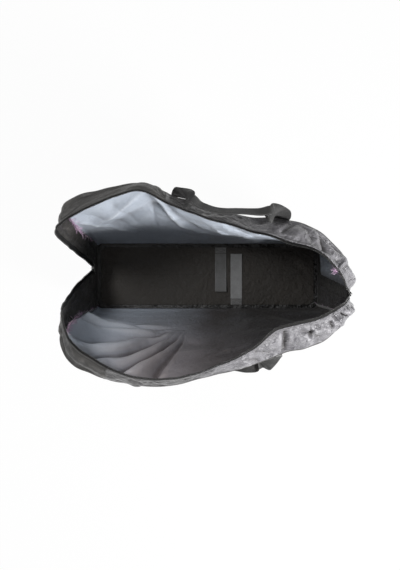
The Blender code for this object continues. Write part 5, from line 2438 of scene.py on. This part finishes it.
@dataclass
class Handle:
    """A carrying handle: a loop of webbing folded over at its grip, and the two ends sewn to the panel."""

    half: BagHalf
    wardrobe: Wardrobe
    stitcher: Stitcher
    root_shares: tuple[float, float]
    root_drops: tuple[float, float]
    hinge_offset: float
    loop_rows: tuple[Row, ...]
    webbing_width: float = 0.050
    webbing_thickness: float = 0.0020
    core_share: float = 0.8
    rise: float = 0.088
    anchor_length: float = 0.100
    anchor_gap: float = 0.0007
    standoff: float = 0.0060
    lift_share: float = 0.45
    fold_radius: float = 0.0015
    grip_seams: tuple[float, ...] = (0.06, 0.44, 0.56, 0.94)
    still_reaches: tuple[float, float, float] = (0.058, 0.062, 0.062)
    columns: int = 150
    rows: int = 26

    def root_point(self, side: int) -> Vector:
        """The middle of one anchor's top edge, where the webbing stands off the panel.

        Args:
            side: 0 for the left one and 1 for the right one.

        Returns:
            The point.
        """
        share = self.root_shares[side]
        v = self.half.below_seam(share, self.root_drops[side])
        proud = SIZES.cloth / 2 + SIZES.gap + self.webbing_thickness / 2 + self.standoff
        return self.half.panel(share, v) + self.half.panel_normal(share, v) * proud

    def hinge(self) -> tuple[Vector, Vector, Vector, Vector]:
        """The handle's two root middles, its hinge's axis and the level way out of the bag.

        Returns:
            The two points and the two unit directions.
        """
        left, right = self.root_point(0), self.root_point(1)
        axis = (right - left).normalized()
        out = axis.cross(Vector((0.0, 0.0, self.half.side))).normalized() * -1
        proud = out * self.hinge_offset
        return left + proud, right + proud, axis, out

    def section(self, folded: float) -> list[tuple[float, float]]:
        """The webbing's cross-section where it is folded by a share: each point across it and out of it.

        Args:
            folded: The share.

        Returns:
            The points.
        """
        arc = math.pi * self.fold_radius
        angle_end = math.pi * folded
        step = self.webbing_width / self.rows
        found = [(-self.webbing_width / 2, 0.0)]
        fine = 8
        x, z = found[0]
        for row in range(self.rows):
            for part in range(fine):
                along = -self.webbing_width / 2 + (row + (part + 0.5) / fine) * step
                angle = angle_end * min(max((along + arc / 2) / arc, 0.0), 1.0)
                x += math.cos(angle) * step / fine
                z += math.sin(angle) * step / fine
            found.append((x, z))
        middle = (min(x for x, _ in found) + max(x for x, _ in found)) / 2
        level = found[-1][1] / 2
        return [(x - middle, z - level) for x, z in found]

    def loop_row(self, share: float) -> tuple[Vector, Vector, float]:
        """The loop's middle, its width's direction and how far it is opened.

        Args:
            share: The share of the way along.

        Returns:
            All three.
        """
        place = min(max(share, 0.0), 1.0) * (len(self.loop_rows) - 1)
        low = min(int(place), len(self.loop_rows) - 2)
        found = []
        for column in range(3):
            values = [Vector(row[column]) if column < 2 else row[column] for row in self.loop_rows]
            start, end = values[low], values[low + 1]
            before = values[low - 1] if low else start * 2 - end
            after = values[low + 2] if low + 2 < len(values) else end * 2 - start
            found.append(smooth_between(before, start, end, after, place - low))
        return found[0], found[1], min(max(found[2], 0.0), 1.0)

    def make_loop(self, left: Vector, right: Vector, axis: Vector, out: Vector) -> None:
        """Makes the loop that moves with the hand.

        Args:
            left: Its left root.
            right: Its right root.
            axis: The hinge's axis.
            out: The level way out of the bag.
        """
        up = (Vector((0.0, 0.0, 1.0)) - axis * axis.z).normalized()
        span = (right - left).length

        def turned(shares: Vector, along: float, rise: float) -> Vector:
            """A place or direction from its shares along the hinge, up and out."""
            return axis * shares.x * along + (up * shares.y + out * shares.z) * rise

        points = np.zeros((self.rows + 1, self.columns + 1, 3))
        for column in range(self.columns + 1):
            u = column / self.columns
            middle, across, opened = self.loop_row(u)
            ahead, behind = (self.loop_row(u + step)[0] for step in (ROW_STEP, -ROW_STEP))
            run = turned(ahead - behind, span, self.rise).normalized()
            across = turned(across, 1.0, 1.0)
            if 0.0 < u < 1.0:
                across -= run * across.dot(run)
            across.normalize()
            face = run.cross(across)
            here = left + turned(middle, span, self.rise)
            for row, (x, z) in enumerate(self.section(smooth_step(1 - 2 * opened))):
                points[row, column] = here + across * x + face * z
        patch = Patch(points, 1)
        name = self.half.name + "_handle"
        patch.fold((Crumple(0.03, 0.0007, self.half.side * 4.0),), (0.0, 0.0))
        made = patch.build(name + "_loop", self.webbing_thickness * self.core_share)
        place_piece(made, Slot.WEBBING, [self.wardrobe.webbing] * 2, body=name, stands_for=[name])
        proud = self.webbing_thickness * self.core_share / 2 + THREAD_LIFT
        lines = []
        for edge in self.grip_seams:
            for sign in (1, -1):
                line = patch_line(patch, (0.30, edge), (0.70, edge), proud * sign, 90)
                lines.append([(point, out * sign) for point, out in line])
        sewn = self.stitcher.sew(name + "_grip_stitches", lines)
        place_piece(sewn, Slot.WEBBING, [self.wardrobe.thread], body=name)

    def make_anchor(self, side: int, root: Vector, axis: Vector, out: Vector, cloth: BagHalf) -> None:
        """Makes one sewn end of the webbing, flat on the panel and then lifting to the hinge.

        Args:
            side: 0 for the left end and 1 for the right one.
            root: The middle of its root on the hinge.
            axis: The hinge's axis.
            out: The level way out of the bag.
            cloth: The half of the bag as its cloth really hangs.
        """
        half = self.half
        share = self.root_shares[side]
        across = self.webbing_width / half.panel_length()
        top = half.below_seam(share, self.root_drops[side])
        run = top - half.below_seam(share, self.root_drops[side] + self.anchor_length)
        proud = SIZES.cloth / 2 + self.anchor_gap + self.webbing_thickness / 2
        edge = root - out * self.hinge_offset

        def surface(u: float, v: float) -> Vector:
            """The webbing's middle, sewn below and lifted off the cloth above.

            Args:
                u: The share across it.
                v: The share up it.

            Returns:
                The point.
            """
            at_u = share + across * (u - 0.5)
            at_v = top - run * (1 - v)
            sewn = cloth.panel(at_u, at_v) + cloth.panel_normal(at_u, at_v) * proud
            lifted = max(0.0, 1 - (1 - v) / self.lift_share) ** 2
            return sewn + (edge + axis * self.webbing_width * (u - 0.5) - sewn) * lifted

        patch = Patch(grid_points(lambda u, v: surface(v, u), 44, 22), half.side)
        label = "left" if side == 0 else "right"
        name = f"{half.name}_{label}_handle_anchor"
        made = patch.build(name + "_webbing", self.webbing_thickness * self.core_share)
        place_piece(made, Slot.WEBBING, [self.wardrobe.webbing] * 2, stands_for=[name])
        lift = self.webbing_thickness * self.core_share / 2 + THREAD_LIFT
        lines = box_and_cross(patch, (0.05, 0.08), (0.52, 0.92), lift, 30)
        sewn = self.stitcher.sew(name + "_box_stitches", lines)
        place_piece(sewn, Slot.WEBBING, [self.wardrobe.thread])

    def make(self, cloth: BagHalf) -> None:
        """Makes the loop, and both anchors on the half's hanging cloth.

        Args:
            cloth: The half of the bag as its cloth really hangs.
        """
        left, right, axis, out = self.hinge()
        self.make_loop(left, right, axis, out)
        for side, root in enumerate((left, right)):
            self.make_anchor(side, root, axis, out, cloth)

    def still_spots(self) -> tuple[StillSpot, ...]:
        """Where the anchors hold the panel flat.

        Returns:
            Three places for each anchor.
        """
        found = []
        for share, drop in zip(self.root_shares, self.root_drops):
            top = self.half.below_seam(share, drop)
            foot = self.half.below_seam(share, drop + self.anchor_length)
            places = (top, (top + foot) / 2, foot)
            found += [StillSpot(share, place, reach) for place, reach in zip(places, self.still_reaches)]
        return tuple(found)


@dataclass
class BoardStrap:
    """A hook and loop strap on the base board: its sewn end and the free length."""

    label: str
    side: int
    place: float
    length: float
    curl: float
    wardrobe: Wardrobe
    stitcher: Stitcher
    width: float = 0.038
    thickness: float = 0.0018
    anchor_length: float = 0.020
    hinge_gap: float = 0.0013
    core_share: float = 0.75
    thread_share: float = 0.38
    curl_start: float = 0.55
    wave_height: float = 0.0009
    cup_height: float = 0.0007

    def make(self) -> None:
        """Makes the strap and its sewn end."""
        root = self.side * (SIZES.half_width - SIZES.board_margin - self.anchor_length)
        height = SIZES.board_top + SIZES.gap + self.thickness / 2

        def free(u: float, v: float) -> Vector:
            """The free length's middle, curled up at its tip.

            Args:
                u: The share along it.
                v: The share across it.

            Returns:
                The point.
            """
            curled = max(0.0, (u - self.curl_start) / (1 - self.curl_start))
            rise = self.curl * curled**2 + self.wave_height * math.sin(u * 11.0) * u
            cup = self.cup_height * (2 * v - 1) ** 2 * u
            x = self.place + (v - 0.5) * self.width
            return Vector((x, root - self.side * self.length * u, height + max(rise, 0.0) + cup))

        def sewn_end(u: float, v: float) -> Vector:
            """The sewn end's middle."""
            y = root + self.side * (self.hinge_gap * 0.8 + (self.anchor_length - self.hinge_gap * 0.8) * u)
            return Vector((self.place + (v - 0.5) * self.width, y, height + 0.0004 * math.sin(math.pi * u)))

        name = self.label + "_strap"
        patch = Patch(grid_points(free, 70, 20), self.side)
        made = patch.build(name + "_tape", self.thickness * self.core_share)
        pile = self.wardrobe.dark_pile if self.side > 0 else self.wardrobe.pile
        place_piece(made, Slot.STRAP, [pile, self.wardrobe.strap_back], body=name, stands_for=[name])
        proud = self.thickness * self.thread_share + THREAD_LIFT
        lines = [patch_line(patch, (0.03, v), (0.99, v), proud, 60) for v in (0.05, 0.95)]
        sewn = self.stitcher.sew(name + "_edge_stitches", lines)
        place_piece(sewn, Slot.STRAP, [self.wardrobe.pale_thread], body=name)
        anchor = Patch(grid_points(sewn_end, 16, 20), -self.side)
        made = anchor.build(name + "_sewn_end", self.thickness * self.core_share)
        place_piece(made, Slot.STRAP, [self.wardrobe.strap_back] * 2, stands_for=[name + "_anchor"])
        lines = box_and_cross(anchor, (0.15, 0.08), (0.85, 0.92), proud, 14)
        sewn = self.stitcher.sew(name + "_sewn_end_stitches", lines)
        place_piece(sewn, Slot.STRAP, [self.wardrobe.pale_thread])


@dataclass
class Base:
    """The stiff board, the panel under it and the piping round them."""

    wardrobe: Wardrobe

    def dress_node(self, name: str, slot: Slot, material: bpy.types.Material) -> None:
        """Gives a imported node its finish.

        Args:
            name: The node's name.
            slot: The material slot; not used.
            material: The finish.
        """
        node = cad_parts[name]
        node.data.materials.clear()
        node.data.materials.append(material)
        LOG.info("%s dressed", name)

    @staticmethod
    def rise(edge: bmesh.types.BMEdge) -> float:
        """How far apart in height an edge's two ends are."""
        return abs(edge.verts[0].co.z - edge.verts[1].co.z)

    def make_slab(
        self,
        name: str,
        stands_for: str,
        slot: Slot,
        material: bpy.types.Material,
        rounding: float,
        reach: float,
    ) -> None:
        """Makes a flat covered slab in the place of a packed plate, with its edges rounded.

        Args:
            name: The piece's name.
            stands_for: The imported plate.
            slot: Its material slot.
            material: Its finish.
            rounding: The radius of its edges.
            reach: How far it reaches beyond the plate on each side.
        """
        low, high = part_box(stands_for)
        slab = bmesh.new()
        uv_layer = slab.loops.layers.uv.new("UVMap")
        bmesh.ops.create_cube(slab, size=1.0)
        middle = (low + high) / 2
        spread = Vector((reach, reach, 0.0))
        bmesh.ops.scale(slab, vec=high - low + spread * 2, verts=slab.verts)
        bmesh.ops.translate(slab, vec=middle, verts=slab.verts)
        upright = [edge for edge in slab.edges if self.rise(edge) > LEVEL_RISE]
        shape = {"affect": "EDGES", "profile": 0.5, "material": -1}
        bmesh.ops.bevel(slab, geom=upright, offset=SIZES.base_corner * 0.95, segments=10, **shape)
        level = [edge for edge in slab.edges if self.rise(edge) < LEVEL_RISE]
        outer = [edge for edge in level if any(abs(face.normal.z) < 0.5 for face in edge.link_faces)]
        bmesh.ops.bevel(slab, geom=outer, offset=rounding, segments=3, **shape)
        for face in slab.faces:
            face.smooth = abs(face.normal.z) < 0.99
            for loop in face.loops:
                loop[uv_layer].uv = loop.vert.co.xy
        made = mesh_object(name, slab)
        place_piece(made, slot, [material], stands_for=[stands_for])

    def make(self) -> None:
        """Makes the slabs and the piping, and dresses the zip's metal."""
        self.make_slab("covered_base_board", "base_board", Slot.BOARD, self.wardrobe.board, 0.0008, 0.0)
        self.make_slab("covered_base_panel", "base_panel", Slot.BLACK, self.wardrobe.black, 0.0009, 0.0016)
        points = []
        for side, ends in ((1, (0.0, 1.0)), (-1, (1.0, 0.0))):
            start, end = ends
            for i in range(120):
                points.append(side_ring(side, start + (end - start) * i / 120, SIZES.band_underside / 2))
            cap = End.RIGHT if side > 0 else End.LEFT
            for i in range(40):
                share = i / 40 if side > 0 else 1 - i / 40
                points.append(end_ring(cap, share, SIZES.band_underside / 2))
        made = tube("base_piping_cord", points, SIZES.piping_radius, 12, closed=True)
        place_piece(made, Slot.PIPING, [self.wardrobe.piping], stands_for=["base_piping"])
        for end in ("left", "right"):
            for piece in ("_zip_slider", "_zip_pull"):
                self.dress_node(end + piece, Slot.METAL, self.wardrobe.metal)


@dataclass
class Studio:
    """The camera, the floor, the lamps and the world."""

    camera_place: tuple[float, float, float] = (-0.025, -0.030, 2.2)
    focal_pixels: float = 655.0
    image_height: float = 570.0
    sensor: float = 36.0
    key_direction: tuple[float, float, float] = (0.95, -0.68, 0.66)
    key_distance: float = 2.6
    key_power: float = 106.0
    key_size: float = 0.6
    side_direction: tuple[float, float, float] = (-0.50, 0.24, 0.9)
    side_power: float = 24.0
    side_size: float = 0.5
    fill_level: float = 0.20

    def make_camera(self) -> None:
        """Places the camera straight above the bag."""
        data = bpy.data.cameras.new("camera")
        data.sensor_width = self.sensor
        data.lens = self.focal_pixels / self.image_height * self.sensor
        camera = link_object("camera", data)
        camera.location = self.camera_place
        bpy.context.scene.camera = camera

    def make_lamp(self, name: str, place: tuple[float, float, float], power: float, size: float) -> None:
        """Places one large soft lamp.

        Args:
            name: The lamp's name.
            place: The direction that it shines from.
            power: Its power.
            size: Its width and height.
        """
        data = bpy.data.lights.new(name, "AREA")
        data.energy = power
        data.size = size
        lamp = link_object(name, data)
        direction = Vector(place).normalized()
        lamp.location = direction * self.key_distance + Vector((0.0, 0.0, 0.3))
        lamp.rotation_euler = direction.to_track_quat("Z", "Y").to_euler()

    def make_world(self) -> None:
        """Makes a grey fill that the camera and mirrors see as white."""
        world = bpy.data.worlds.new("studio")
        world.use_nodes = True
        nodes = Nodes(world.node_tree)
        world.node_tree.nodes.clear()
        seen = self.seen_by_eye(nodes)
        fill = nodes.add("ShaderNodeBackground", {"Color": grey(1.0, -0.01), "Strength": self.fill_level})
        white = nodes.add("ShaderNodeBackground", {"Color": grey(1.0), "Strength": 1.0})
        mixed = nodes.add("ShaderNodeMixShader", {0: seen, 1: fill.outputs[0], 2: white.outputs[0]})
        nodes.add("ShaderNodeOutputWorld", {"Surface": mixed.outputs[0]})
        bpy.context.scene.world = world

    @staticmethod
    def seen_by_eye(nodes: Nodes) -> Socket:
        """1 for rays from the camera, and for those that a mirror or glass sends on.

        Args:
            nodes: The material's nodes.

        Returns:
            The share.
        """
        path = nodes.add("ShaderNodeLightPath")
        sharp = nodes.math("MAXIMUM", path.outputs["Is Camera Ray"], path.outputs["Is Transmission Ray"])
        return nodes.math("MAXIMUM", sharp, nodes.math("MULTIPLY", path.outputs["Is Glossy Ray"], 0.6))

    def make_floor(self) -> None:
        """Makes the white floor, which keeps the bag's shadow."""
        plane = bmesh.new()
        bmesh.ops.create_grid(plane, x_segments=1, y_segments=1, size=40.0)
        bmesh.ops.translate(plane, vec=(0.0, 0.0, -0.0004), verts=plane.verts)
        floor = mesh_object("floor", plane)
        made, nodes, shader, _ = start_material("white_floor")
        nodes.feed(shader, {"Base Color": grey(0.80), "Roughness": 0.9})
        glow = nodes.add("ShaderNodeEmission", {"Color": grey(1.0), "Strength": 1.0})
        share = nodes.math("MULTIPLY", self.seen_by_eye(nodes), 0.96)
        mixed = nodes.add("ShaderNodeMixShader", {0: share, 1: shader.outputs[0], 2: glow.outputs[0]})
        output = made.node_tree.nodes["Material Output"]
        made.node_tree.links.new(mixed.outputs[0], output.inputs["Surface"])
        floor.data.materials.append(made)
        floor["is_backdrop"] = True

    def make(self) -> None:
        """Makes it all."""
        self.make_camera()
        self.make_lamp("key", self.key_direction, self.key_power, self.key_size)
        self.make_lamp("side", self.side_direction, self.side_power, self.side_size)
        self.make_world()
        self.make_floor()
        bpy.context.scene.view_settings.view_transform = "Standard"


BACK_LOOP_SHARES: tuple[Row, ...] = (
    ((0.000, 0.00, 0.00), (1.0, 0.0, 0.0), 1.0),
    ((0.000, 0.30, 0.03), (1.0, 0.0, -0.1), 1.0),
    ((0.012, 0.58, 0.04), (0.85, 0.05, -0.5), 0.95),
    ((0.050, 0.84, -0.06), (0.55, 0.1, -0.8), 0.6),
    ((0.130, 0.97, -0.18), (0.15, 0.60, -1.0), 0.2),
    ((0.250, 1.00, -0.25), (0.0, 1.10, -1.0), 0.0),
    ((0.400, 1.00, -0.26), (0.0, 1.30, -1.0), 0.0),
    ((0.610, 1.00, -0.14), (0.0, 1.30, -1.0), 0.0),
    ((0.790, 0.97, -0.06), (-0.05, 0.80, -1.0), 0.1),
    ((0.905, 0.84, 0.01), (-0.5, 0.2, -0.8), 0.5),
    ((0.975, 0.58, 0.08), (-0.9, 0.0, -0.4), 0.9),
    ((1.000, 0.28, 0.06), (-1.0, 0.0, 0.0), 1.0),
    ((1.000, 0.00, 0.00), (-1.0, 0.0, 0.0), 1.0),
)
FRONT_LOOP_SHARES: tuple[Row, ...] = (
    ((0.000, 0.00, 0.00), (1.0, 0.0, 0.0), 1.0),
    ((0.000, -0.26, 0.05), (1.0, 0.0, 0.0), 1.0),
    ((0.015, -0.52, 0.03), (0.8, 0.0, -0.6), 0.9),
    ((0.090, -0.72, -0.02), (0.4, 0.0, -0.9), 0.5),
    ((0.200, -0.80, -0.05), (0.0, 0.1, -1.0), 0.1),
    ((0.400, -0.78, -0.03), (0.0, 0.2, -1.0), 0.0),
    ((0.570, -0.68, 0.08), (0.0, 0.3, -1.0), 0.0),
    ((0.710, -0.56, 0.22), (0.0, 0.4, -1.0), 0.0),
    ((0.850, -0.48, 0.24), (-0.3, 0.3, -0.9), 0.2),
    ((0.950, -0.36, 0.10), (-0.8, 0.1, -0.5), 0.8),
    ((0.995, -0.18, 0.03), (-1.0, 0.0, -0.1), 1.0),
    ((1.000, 0.00, 0.00), (-1.0, 0.0, 0.0), 1.0),
)
BACK_HANDLE_SIZES = dict(
    root_shares=(0.443, 0.765),
    root_drops=(0.0070, 0.0070),
    hinge_offset=0.0017,
    loop_rows=BACK_LOOP_SHARES,
)
FRONT_HANDLE_SIZES = dict(
    root_shares=(0.460, 0.766),
    root_drops=(0.0300, 0.0095),
    hinge_offset=0.0019,
    loop_rows=FRONT_LOOP_SHARES,
)
BACK_PANEL_FOLDS: tuple[Feature, ...] = (
    Slack(0.20, 0.0080, 1.0, (1.0, 1.6)),
    Slack(0.07, 0.0018, 2.0, (1.0, 1.4)),
    FoldLine((0.06, 0.42), (0.30, 0.88), -0.008, 0.012),
    FoldLine((0.11, 0.34), (0.36, 0.76), 0.015, 0.028, 2.0),
    FoldLine((0.31, 0.88), (0.41, 0.35), -0.010, 0.014),
    FoldLine((0.34, 0.85), (0.47, 0.35), 0.010, 0.018, 2.0),
    FoldLine((0.42, 0.92), (0.58, 0.45), -0.008, 0.016),
    FoldLine((0.50, 0.92), (0.70, 0.52), 0.008, 0.018, 2.0),
    FoldLine((0.02, 0.55), (0.20, 0.22), -0.008, 0.012),
    Fan((0.30, 0.12), math.radians(62), math.radians(150), 5.0, 0.12, 0.22, 4.0),
    Facets(0.060, 0.0060, 13, start=0.56),
    Facets(0.026, 0.0016, 14, start=0.34),
)
FRONT_PANEL_FOLDS: tuple[Feature, ...] = (
    Slack(0.20, 0.0080, 5.0, (1.2, 1.2)),
    Slack(0.06, 0.0014, 6.0, (1.6, 0.8)),
    Fan((0.42, 0.26), math.radians(90), math.radians(188), 5.0, 1.15, 0.30, 9.0),
    FoldLine((0.34, 0.30), (0.20, 0.86), 0.014, 0.018, 2.0),
    FoldLine((0.36, 0.34), (0.27, 1.05), -0.006, 0.012),
    FoldLine((0.40, 0.34), (0.14, 0.62), -0.009, 0.010),
    FoldLine((0.41, 0.31), (0.10, 0.47), -0.007, 0.008),
    FoldLine((0.40, 0.38), (0.52, 0.62), 0.006, 0.024, 2.0),
    FoldLine((0.33, 0.92), (0.70, 0.60), -0.009, 0.010),
    FoldLine((0.06, 0.80), (0.31, 0.35), 0.010, 0.010),
    FoldLine((0.10, 0.92), (0.32, 0.42), -0.009, 0.014),
    FoldLine((0.02, 0.28), (0.32, 0.33), 0.008, 0.008),
    FoldLine((0.02, 0.44), (0.31, 0.36), -0.006, 0.010),
    Facets(0.060, 0.0060, 18, start=0.52),
    Facets(0.026, 0.0014, 19, start=0.38),
)
FRONT_SLITS: Folds = {
    Section.TOP: (
        FoldLine((0.755, 0.05), (0.740, 0.95), -0.014, 0.0070),
        FoldLine((0.955, 0.25), (0.945, 0.75), -0.019, 0.0045),
        FoldLine((0.87, 0.30), (0.845, 0.60), -0.016, 0.0050),
        FoldLine((0.82, 0.20), (0.90, 0.80), -0.007, 0.0050),
        FoldLine((0.56, 0.25), (0.63, 0.90), -0.006, 0.0060),
    ),
    Section.RIGHT_END: (
        FoldLine((0.05, 0.20), (0.08, 0.62), -0.019, 0.0045),
        FoldLine((0.17, 0.25), (0.15, 0.70), -0.010, 0.0050),
        FoldLine((0.45, 0.15), (0.60, 0.85), -0.007, 0.0060),
    ),
}
BACK_SLITS: Folds = {
    Section.TOP: (
        FoldLine((0.60, 0.15), (0.68, 0.90), -0.008, 0.0060),
        FoldLine((0.86, 0.10), (0.80, 0.85), -0.009, 0.0060),
    ),
    Section.RIGHT_END: (
        FoldLine((0.16, 0.15), (0.24, 0.85), -0.009, 0.0055),
        FoldLine((0.50, 0.20), (0.42, 0.80), -0.007, 0.0055),
    ),
}


def gusset_folds(seed: int, slits: Folds) -> Folds:
    """The folds of one half's gusset: creased at the black end and crumpled at the right end.

    Args:
        seed: The half's seed.
        slits: Its own folds at places that the bag shows.

    Returns:
        The folds of each length.
    """
    return {
        Section.LEFT_END: (
            Slack(0.11, 0.0030, seed, (1.0, 2.0)),
            Facets(0.050, 0.0066, seed + 1, stretch=(1.6, 0.7)),
            Facets(0.019, 0.0019, seed + 2, stretch=(1.4, 0.8)),
            Creases(14, 0.0042, 0.008, seed + 2, 0.0, 0.35, (0.05, 0.14), 1.25),
        ),
        Section.TOP: (
            Slack(0.10, 0.0035, seed + 2.0, (1.0, 2.0)),
            Facets(0.034, 0.0052, seed + 3, start=0.02, stretch=(1.4, 0.75)),
            Facets(0.014, 0.0018, seed + 4),
            Creases(16, 0.0050, 0.007, seed + 4, 0.12, 0.5, (0.04, 0.10), 1.1),
        )
        + slits[Section.TOP],
        Section.RIGHT_END: (
            Slack(0.12, 0.0050, seed + 4.0, (1.0, 2.0)),
            Facets(0.036, 0.0046, seed + 5, stretch=(1.3, 0.8)),
            Facets(0.014, 0.0018, seed + 6),
            Creases(12, 0.0045, 0.007, seed + 6, 0.0, 0.5, (0.04, 0.10), 1.1),
        )
        + slits[Section.RIGHT_END],
    }


BACK_TUFT = FrayedStretch("gusset_join", 0.001, 0.020, 110, 0.001, 0.007)
BACK_FRAYS = (
    FrayedStretch("left", 1.0, 7.8, 250, 2.3, 3.9),
    FrayedStretch("right", 13.0, 16.0, 130, 13.6, 14.8),
)
FRONT_FRAYS = (
    FrayedStretch("left", 1.0, 6.3, 230, 2.2, 4.6),
    FrayedStretch("right", 13.0, 16.0, 60, 13.4, 15.0),
)


def main() -> None:
    """Builds the studio, then the bag from its base up."""
    logging.basicConfig(level=logging.INFO, format="%(message)s")
    cad_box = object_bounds()
    noise.seed_set(NOISE_SEED)
    Studio().make()
    wardrobe = Wardrobe()
    stitcher = Stitcher()
    back = BagHalf("back", 1, BACK_ROW_SHARES, BACK_PARTING_SHARES, 7.8)
    front = BagHalf("front", -1, FRONT_ROW_SHARES, FRONT_PARTING_SHARES, 6.3)
    handles = (
        Handle(back, wardrobe, stitcher, **BACK_HANDLE_SIZES),
        Handle(front, wardrobe, stitcher, **FRONT_HANDLE_SIZES),
    )
    loose_back, loose_front = (replace(half, wander=SEAM_WANDER) for half in (back, front))
    Base(wardrobe).make()
    dressings = (
        (loose_back, handles[0], BACK_PANEL_FOLDS, BACK_SLITS, BACK_FRAYS, BACK_TUFT, 20),
        (loose_front, handles[1], FRONT_PANEL_FOLDS, FRONT_SLITS, FRONT_FRAYS, None, 40),
    )
    for half, handle, panel_folds, slits, frays, tuft, seed in dressings:
        still = handle.still_spots()
        HalfCloth(half, wardrobe, stitcher, panel_folds, still, gusset_folds(seed, slits)).make()
        ZipHalf(half, wardrobe).make()
        SideSeam(half, wardrobe, frays, tuft, seed).make()
        handle.make(half)
    LowerBands(back, front, wardrobe, stitcher).make()
    BoardStrap("hook", 1, 0.0444, 0.128, 0.010, wardrobe, stitcher).make()
    BoardStrap("loop", -1, 0.0964, 0.150, 0.006, wardrobe, stitcher).make()
    boxes = {"cad": cad_box, "visual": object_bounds()}
    {label: [list(corner) for corner in box] for label, box in boxes.items()}


if __name__ == "__main__":
    main()
